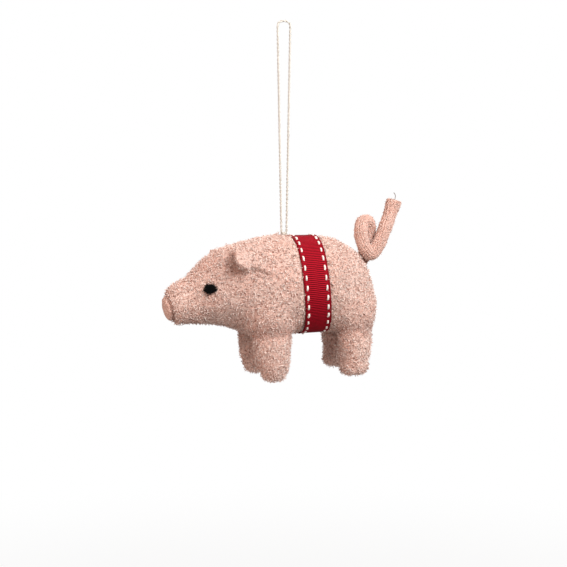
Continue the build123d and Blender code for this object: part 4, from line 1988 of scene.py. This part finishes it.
@dataclass
class RibbonBelt:
    """The grosgrain ribbon round the body and its saddle stitches."""

    place: BeltPlace = field(default_factory=BeltPlace)
    thickness: float = 0.5
    rib_pitch: float = 1.1
    rib_height: float = 0.1
    selvage: float = 1.5
    flat_length: float = 181.0
    off_hide: float = 0.3
    lap: float = 9.0
    lap_rise: float = 0.62
    stitch_lift: float = 0.1
    stitch_inset: float = 1.8
    stitch_pitch: float = 5.6
    stitch_length: float = 2.15
    stitch_width: float = 1.1

    def lie(self, hide: Object) -> tuple[np.ndarray, np.ndarray]:
        """Lay the ribbon's middle layer on the hide.

        Args:
            hide: The wool hide.

        Returns:
            Points by run and width, in millimetres, and the run of each in millimetres.
        """
        graph = bpy.context.evaluated_depsgraph_get()
        tree = BVHTree.FromObject(hide, graph)
        up, across, middle = self.place.up(), self.place.across(), self.place.centre()
        angles = np.linspace(-math.pi / 2, 1.5 * math.pi, 360, endpoint=False)
        drift = np.outer(self.place.drift(np.sin(angles)), across)
        widths = np.linspace(-self.place.width / 2, self.place.width / 2, 9)
        rays = np.outer(np.cos(angles), (0, 1, 0)) + np.outer(np.sin(angles), up)
        radii = np.zeros((len(angles), len(widths)))
        for column, width in enumerate(widths):
            for row, ray in enumerate(rays):
                start = Vector((middle + across * width + drift[row]) * MM)
                radii[row, column] = tree.ray_cast(start, Vector(ray))[3] / MM
        window = np.exp(-((np.arange(-12, 13) / 5.0) ** 2))
        window /= window.sum()
        wrapped = np.concatenate([radii[-12:], radii, radii[:12]])
        smooth = [np.convolve(column, window, "valid") for column in wrapped.T]
        eased = np.maximum(np.stack(smooth, axis=1), radii)
        # Held tight, the ribbon bridges hollows: half of it follows its highest edge.
        lifted = eased.max(axis=1, keepdims=True) * 0.5 + eased * 0.5
        lifted += self.off_hide + self.thickness / 2
        ring = middle + rays[:, None, :] * lifted[:, :, None] + across * widths[:, None]
        ring += drift[:, None, :]
        centre = len(widths) // 2
        closed = np.concatenate([ring, ring[:1]])
        steps = np.linalg.norm(np.diff(closed[:, centre], axis=0), axis=1)
        return closed, np.concatenate([[0], np.cumsum(steps)])

    def band_points(self, hide: Object) -> tuple[np.ndarray, np.ndarray, np.ndarray]:
        """Points of the ribbon by run and width, with its lap under the belly.

        Args:
            hide: The wool hide.

        Returns:
            Points in millimetres, runs and widths in millimetres.
        """
        closed, run = self.lie(hide)
        total = run[-1]
        steps = int((total + self.lap) / (self.rib_pitch / 6))
        runs = np.linspace(0, total + self.lap, steps)
        widths = np.linspace(0, self.place.width, 26)
        columns = np.linspace(0, self.place.width, closed.shape[1])
        at = np.mod(runs, total)
        at[runs == total] = 0
        by_run = np.empty((steps, closed.shape[1], 3))
        for column in range(closed.shape[1]):
            for axis in range(3):
                by_run[:, column, axis] = np.interp(at, run, closed[:, column, axis])
        band = np.empty((steps, len(widths), 3))
        for row in range(steps):
            for axis in range(3):
                band[row, :, axis] = np.interp(widths, columns, by_run[row, :, axis])
        across = self.place.across()
        away = band - self.place.centre()
        away -= (away @ across)[:, :, None] * across
        away /= np.linalg.norm(away, axis=2)[:, :, None]
        rise = self.lap_rise * smoothstep(total - 7.0, total + 0.5, runs)
        return band + away * rise[:, None, None], runs, widths

    def build(self, hide: Object, grosgrain: Material) -> Object:
        """Make the ribbon with its cross ribs.

        Args:
            hide: The wool hide that it lies on.
            grosgrain: Grosgrain finish.

        Returns:
            The ribbon.
        """
        points, runs, widths = self.band_points(hide)
        faces = grid_faces(len(runs), len(widths))
        band = new_piece("grosgrain_ribbon", points.reshape(-1, 3) * MM, faces, grosgrain)
        chart = band.data.uv_layers.new(name="ribbon_mm")
        flat = np.stack(np.meshgrid(runs, widths, indexing="ij"), axis=-1).reshape(-1, 2)
        corners = np.zeros(len(band.data.loops), np.int32)
        band.data.loops.foreach_get("vertex_index", corners)
        chart.data.foreach_set("uv", flat[corners].astype(np.float32).ravel())
        write_share(band, "run_mm", flat[:, 0])
        write_share(band, "width_mm", flat[:, 1])
        sizes = {
            "Rib pitch": self.rib_pitch,
            "Rib height": self.rib_height * MM,
            "Width": self.place.width,
            "Selvage": self.selvage,
        }
        grow(band, self.rib_tree(grosgrain), sizes)
        wall = band.modifiers.new("wall", "SOLIDIFY")
        wall.thickness = self.thickness * MM
        wall.offset = 0
        bake(band)
        return band

    def rib_tree(self, grosgrain: Material) -> NodeTree:
        """Tree that raises the cross ribs between the selvages.

        Args:
            grosgrain: Grosgrain finish.

        Returns:
            The tree.
        """
        tree, entry = open_tree(
            "grosgrain_ribs", {"Rib pitch": 1.0, "Rib height": 0.1, "Width": 15.0, "Selvage": 1.5}
        )
        run = put(tree, "GeometryNodeInputNamedAttribute", {"Name": "run_mm"}, data_type="FLOAT")
        width = put(
            tree, "GeometryNodeInputNamedAttribute", {"Name": "width_mm"}, data_type="FLOAT"
        )
        turns = put(
            tree, "ShaderNodeMath", {0: run, 1: entry.outputs["Rib pitch"]}, operation="DIVIDE"
        )
        angle = put(tree, "ShaderNodeMath", {0: turns, 1: 2 * math.pi}, operation="MULTIPLY")
        wave = put(tree, "ShaderNodeMath", {0: angle}, operation="COSINE")
        far = put(
            tree, "ShaderNodeMath", {0: entry.outputs["Width"], 1: width}, operation="SUBTRACT"
        )
        edge = put(tree, "ShaderNodeMath", {0: far, 1: width}, operation="MINIMUM")
        inside = put(
            tree, "ShaderNodeMath", {0: edge, 1: entry.outputs["Selvage"]}, operation="GREATER_THAN"
        )
        ribbed = put(tree, "ShaderNodeMath", {0: wave, 1: inside}, operation="MULTIPLY")
        lift = put(
            tree,
            "ShaderNodeMath",
            {0: ribbed, 1: entry.outputs["Rib height"]},
            operation="MULTIPLY",
        )
        out = put(tree, "GeometryNodeInputNormal")
        offset = put(tree, "ShaderNodeVectorMath", {0: out, "Scale": lift}, operation="SCALE")
        shaped = put(
            tree,
            "GeometryNodeSetPosition",
            {"Geometry": entry.outputs["Geometry"], "Offset": offset},
        )
        close_tree(tree, shaped.outputs[0], grosgrain)
        return tree

    def stitch_tree(self, thread: Material) -> NodeTree:
        """Tree that lays one stitch at each step of a path.

        Args:
            thread: Finish of the thread.

        Returns:
            The tree.
        """
        tree, entry = open_tree(
            "saddle_stitches", {"Pitch": 1.0, "Length": 1.0, "Width": 1.0, "Seed": 1}
        )
        curve = put(tree, "GeometryNodeMeshToCurve", {"Mesh": entry.outputs["Geometry"]})
        spots = put(
            tree,
            "GeometryNodeCurveToPoints",
            {"Curve": curve, "Length": entry.outputs["Pitch"]},
            mode="LENGTH",
        )
        up = put(tree, "GeometryNodeInputNamedAttribute", {"Name": "up"}, data_type="FLOAT_VECTOR")
        arc = put(
            tree,
            "GeometryNodeCurveQuadraticBezier",
            {
                "Resolution": 10,
                "Start": (-0.56, 0, -0.16),
                "Middle": (0, 0, 0.36),
                "End": (0.56, 0, -0.16),
            },
        )
        along = put(tree, "GeometryNodeSplineParameter")
        swing = put(
            tree, "ShaderNodeMath", {0: along.outputs["Factor"], 1: math.pi}, operation="MULTIPLY"
        )
        belly = put(tree, "ShaderNodeMath", {0: swing}, operation="SINE")
        full = put(tree, "ShaderNodeMapRange", {"Value": belly, 3: 0.3, 4: 1.0})
        shaped = put(tree, "GeometryNodeSetCurveRadius", {"Curve": arc, "Radius": full})
        share = put(
            tree,
            "ShaderNodeMath",
            {0: entry.outputs["Width"], 1: entry.outputs["Length"]},
            operation="DIVIDE",
        )
        half = put(tree, "ShaderNodeMath", {0: share, 1: 0.5}, operation="MULTIPLY")
        section = put(tree, "GeometryNodeCurvePrimitiveCircle", {"Resolution": 10, "Radius": half})
        stitch = put(
            tree,
            "GeometryNodeCurveToMesh",
            {"Curve": shaped, "Profile Curve": section, "Fill Caps": True},
        )
        standing = put(tree, "FunctionNodeAlignRotationToVector", {"Vector": up}, axis="Z")
        facing = put(
            tree,
            "FunctionNodeAlignRotationToVector",
            {"Rotation": standing, "Vector": spots.outputs["Tangent"]},
            axis="X",
            pivot_axis="Z",
        )
        skew = put(
            tree,
            "FunctionNodeRandomValue",
            {0: (-0.06, -0.05, -0.2), 1: (0.06, 0.05, 0.06), "Seed": entry.outputs["Seed"]},
            data_type="FLOAT_VECTOR",
        )
        turned = put(tree, "FunctionNodeEulerToRotation", {0: skew})
        lying = put(
            tree,
            "FunctionNodeRotateRotation",
            {"Rotation": facing, "Rotate By": turned},
            rotation_space="LOCAL",
        )
        vary = put(tree, "FunctionNodeRandomValue", {2: 0.9, 3: 1.08, "Seed": 8}, data_type="FLOAT")
        size = put(
            tree, "ShaderNodeMath", {0: vary, 1: entry.outputs["Length"]}, operation="MULTIPLY"
        )
        placed = put(
            tree,
            "GeometryNodeInstanceOnPoints",
            {
                "Points": spots.outputs["Points"],
                "Instance": stitch,
                "Rotation": lying,
                "Scale": size,
            },
        )
        close_tree(tree, placed.outputs[0], thread)
        return tree

    def build_stitches(self, hide: Object, thread: Material) -> list[Object]:
        """Make the row of stitches inside each edge.

        Args:
            hide: The wool hide under the ribbon.
            thread: White thread finish.

        Returns:
            The front row and the rear row.
        """
        points, runs, widths = self.band_points(hide)
        tree = self.stitch_tree(thread)
        keep = runs < runs[-1] - 0.5
        rows = []
        for name, width in (
            ("front_saddle_stitches", self.stitch_inset),
            ("rear_saddle_stitches", self.place.width - self.stitch_inset),
        ):
            column = int(np.argmin(np.abs(widths - width)))
            path = points[keep, column]
            across = self.place.across()
            away = path - self.place.centre()
            away -= np.outer(away @ across, across)
            along = np.gradient(path, axis=0)
            away -= along * ((away * along).sum(axis=1) / (along * along).sum(axis=1))[:, None]
            away /= np.linalg.norm(away, axis=1)[:, None]
            lifted = path + away * (self.thickness / 2 + self.stitch_lift)
            row = path_piece(name, lifted * MM, thread)
            up = row.data.attributes.new("up", "FLOAT_VECTOR", "POINT")
            up.data.foreach_set("vector", away.astype(np.float32).ravel())
            sizes = {
                "Pitch": self.stitch_pitch * MM,
                "Length": self.stitch_length * MM,
                "Width": self.stitch_width * MM,
                "Seed": 4,
            }
            rows.append(grow(row, tree, sizes))
        return rows

    def dress(self, band: Object, rows: list[Object], hide: Object) -> None:
        """Args:
            band: The ribbon.
            rows: Front and rear stitches.
            hide: The hide that the ribbon lies on; not used.
        """
        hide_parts("ribbon_band")
        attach(band, "pig")
        for row, node in zip(rows, ("front_stitch_row", "rear_stitch_row")):
            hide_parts(node)
            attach(row, "pig")


@dataclass(frozen=True)
class Softbox:
    """A soft square lamp: place and edge length in metres, power in watts and sRGB tint."""

    name: str
    place: Triple
    size: float
    watts: float
    tint: str


@dataclass
class Studio:
    """Plain white studio: floor, soft light and the camera of the photograph."""

    azimuth: float = -17.0
    elevation: float = 7.0
    distance: float = 800.0
    pixels_per_mm: float = 1.7857
    frame_pixels: int = 567
    loop_foot_pixel: tuple[float, float] = (284.0, 234.0)
    sensor: float = 36.0
    floor_height: float = -0.42
    floor_reach: float = 4.0
    floor_grey: str = "#A0A0A0"
    room_tint: str = "#FFE0D2"
    room_strength: float = 0.3
    lit_point: Triple = (0.0, 0.0, -0.14)
    lamps: tuple[Softbox, ...] = (
        Softbox("key_softbox", (0.32, -0.66, 0.46), 0.75, 14.2, "#FFFEFC"),
        Softbox("fill_softbox", (-0.85, -0.25, 0.2), 0.6, 4.4, "#FFE0D2"),
        Softbox("back_softbox", (0.15, 0.9, 0.3), 0.8, 8.0, "#FFFEFC"),
    )

    def directions(self) -> tuple[Vector, Vector, Vector]:
        """Work out how the camera is turned.

        Returns:
            Its right, up and back directions.
        """
        around, above = math.radians(self.azimuth), math.radians(self.elevation)
        back = Vector(
            (
                math.sin(around) * math.cos(above),
                -math.cos(around) * math.cos(above),
                math.sin(above),
            )
        )
        right = Vector((math.cos(around), math.sin(around), 0))
        return right, back.cross(right), back

    def add_camera(self) -> None:
        """Place the camera so that the loop's foot falls on its pixel of the photograph."""
        right, up, back = self.directions()
        half = self.frame_pixels / 2
        aside = (half - self.loop_foot_pixel[0]) / self.pixels_per_mm
        below = (half - self.loop_foot_pixel[1]) / self.pixels_per_mm
        target = Vector((0, 0, BACK * MM)) + right * aside * MM - up * below * MM
        lens = bpy.data.cameras.new("studio_camera")
        lens.sensor_fit = "HORIZONTAL"
        lens.sensor_width = self.sensor
        lens.lens = self.sensor * self.distance * self.pixels_per_mm / self.frame_pixels
        lens.clip_start = 0.01
        camera = bpy.data.objects.new("studio_camera", lens)
        bpy.context.scene.collection.objects.link(camera)
        turn = Matrix((right, up, back)).transposed()
        camera.matrix_world = Matrix.Translation(target + back * self.distance * MM) @ turn.to_4x4()
        bpy.context.scene.camera = camera

    def add_light(self, box: Softbox) -> None:
        """Add a soft lamp that faces the pig.

        Args:
            box: The lamp's place, size and light.
        """
        lamp = bpy.data.lights.new(box.name, "AREA")
        lamp.color = linear(box.tint)[:3]
        lamp.size = box.size
        lamp.energy = box.watts
        holder = bpy.data.objects.new(box.name, lamp)
        bpy.context.scene.collection.objects.link(holder)
        place = Vector(box.place)
        turn = (Vector(self.lit_point) - place).to_track_quat("-Z", "Y")
        holder.matrix_world = Matrix.Translation(place) @ turn.to_matrix().to_4x4()

    def seen_directly(self, tree: NodeTree) -> NodeSocket:
        """Tell what the camera, a reflection or a clear body sees from what lights the pig.

        Args:
            tree: Tree of the floor or the room.

        Returns:
            Socket that is 1 for what is seen.
        """
        path = put(tree, "ShaderNodeLightPath")
        shiny = put(
            tree,
            "ShaderNodeMath",
            {0: path.outputs["Is Camera Ray"], 1: path.outputs["Is Glossy Ray"]},
            operation="MAXIMUM",
        )
        either = put(
            tree,
            "ShaderNodeMath",
            {0: shiny, 1: path.outputs["Is Transmission Ray"]},
            operation="MAXIMUM",
        )
        return either.outputs[0]

    def add_floor(self) -> None:
        """Lay the pale floor that keeps the pig's shadow."""
        material, tree = blank_material("studio_floor_white")
        paper = put(tree, "ShaderNodeBsdfDiffuse", {"Color": linear(self.floor_grey)})
        white = put(tree, "ShaderNodeEmission", {"Color": (1, 1, 1, 1), "Strength": 1.0})
        place = put(tree, "ShaderNodeTexCoord").outputs["Object"]
        away = put(tree, "ShaderNodeVectorMath", {0: place}, operation="LENGTH")
        fade = put(
            tree,
            "ShaderNodeMapRange",
            {"Value": away.outputs["Value"], 1: 0.42, 2: 0.75, 3: 0.86, 4: 1.0},
            interpolation_type="SMOOTHSTEP",
        )
        share = put(
            tree, "ShaderNodeMath", {0: self.seen_directly(tree), 1: fade}, operation="MULTIPLY"
        )
        mixed = put(tree, "ShaderNodeMixShader", {0: share, 1: paper, 2: white})
        put(tree, "ShaderNodeOutputMaterial", {"Surface": mixed})
        ends = ((-1, -1), (1, -1), (1, 1), (-1, 1))
        corners = np.array(
            [(x * self.floor_reach, y * self.floor_reach, self.floor_height) for x, y in ends]
        )
        new_piece("studio_floor", corners, [(0, 1, 2, 3)], material)

    def add_world(self) -> None:
        """Light the room softly and show it white."""
        world = bpy.data.worlds.new("studio_room")
        world.use_nodes = True
        tree = world.node_tree
        tree.nodes.clear()
        soft = put(
            tree,
            "ShaderNodeBackground",
            {"Color": linear(self.room_tint), "Strength": self.room_strength},
        )
        white = put(tree, "ShaderNodeBackground", {"Color": (1, 1, 1, 1), "Strength": 1.0})
        mixed = put(tree, "ShaderNodeMixShader", {0: self.seen_directly(tree), 1: soft, 2: white})
        put(tree, "ShaderNodeOutputWorld", {"Surface": mixed})
        bpy.context.scene.world = world

    def build(self) -> None:
        """Set up floor, light and camera."""
        bpy.context.scene.view_settings.view_transform = "Standard"
        self.add_camera()
        self.add_floor()
        self.add_world()
        for box in self.lamps:
            self.add_light(box)


def main() -> None:
    """Build the pig, its hanger and the studio."""
    logging.basicConfig(level=logging.INFO, format="%(name)s %(message)s")
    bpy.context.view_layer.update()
    wool = HeatherWool().material()
    smooth = HeatherWool(
        "wool_felt_smooth_pink", "#F2D3C7", "#DCAD9D", "#D9A797", "#8A5B4B", 0.45, 1.2
    ).material()
    nap = WoolNap().material()
    felt = BlackFelt().material()
    grosgrain = CrimsonGrosgrain().material()
    cotton = SpunYarn("cotton_twine_cream", "#EDEBE4", "#98968E").material()
    white = SpunYarn("stitch_thread_white", "#FBF7F3", "#DDD5D0").material()
    grey = SpunYarn("sewing_thread_grey", "#9A918D", "#6D6461").material()
    rose = SpunYarn("sewing_thread_rose", "#E3BDAF", "#BE9283").material()

    studio = Studio()
    studio.build()

    hanger = TwineHanger()
    loop, line = hanger.build(cotton)
    hanger.dress(loop, line, hanger.build_knot(cotton), hanger.build_wraps(rose))
    log.info("twine loop, knot and wraps")

    skin = WoolHide()
    hide = skin.build(wool)
    skin.dress(hide)
    log.info("wool hide of %d faces", len(hide.data.polygons))
    yarn = NapGrower(density=0.85, length=2.0, thickness=0.38, least_tilt=82, most_tilt=92, seed=17)
    growers = {
        "wool_hide_fuzz": NapGrower(),
        "wool_hide_yarn_ahead": replace(yarn, cover="nap_ahead"),
        "wool_hide_yarn_behind": replace(yarn, cover="nap_behind"),
    }
    for name, grower in growers.items():
        fibres = grower.over(hide, name, nap)
        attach(fibres, "pig")
        log.info("%s of %d faces", name, len(fibres.data.polygons))

    snout = SnoutPatch()
    disc = snout.build(smooth)
    disc_naps = [
        NapGrower(density=1.2, length=0.8, least_tilt=60, seed=41).over(disc, "disc_fuzz", nap),
        replace(yarn, density=0.8, length=1.4, seed=42).over(disc, "disc_yarn", nap),
    ]
    snout.dress(join([disc] + disc_naps, disc.name))
    log.info("snout patch")

    for side in Side:
        eye = FeltEye(side)
        eye.dress(eye.build(felt))
        ear = CuppedEar(side)
        if side is Side.RIGHT:
            ear = replace(ear, tip_shift=0.2, front_bow=-3.2, length=10.8)
        leaf = ear.build(wool)
        ear_naps = [
            NapGrower(density=0.5, length=0.9, seed=21).over(leaf, "ear_fuzz", nap),
            replace(yarn, density=0.7, thickness=0.22, seed=22).over(leaf, "ear_yarn", nap),
        ]
        leaf = join([leaf] + ear_naps, leaf.name)
        ear.dress(leaf)
        log.info("%s eye and ear", side.name.lower())

    tail = CurlyTail()
    roll = tail.build(smooth)
    tail_naps = [
        NapGrower(density=0.4, length=0.6, seed=31).over(roll, "tail_fuzz", nap),
        replace(yarn, density=1.2, length=1.0, thickness=0.2, seed=32).over(roll, "tail_yarn", nap),
    ]
    roll = join([roll] + tail_naps, roll.name)
    tail.dress(roll, tail.build_thread(grey))
    log.info("tail and its thread")

    belt = RibbonBelt()
    band = belt.build(hide, grosgrain)
    belt.dress(band, belt.build_stitches(hide, white), hide)
    log.info("ribbon of %d faces and its stitches", len(band.data.polygons))


if __name__ == "__main__":
    main()
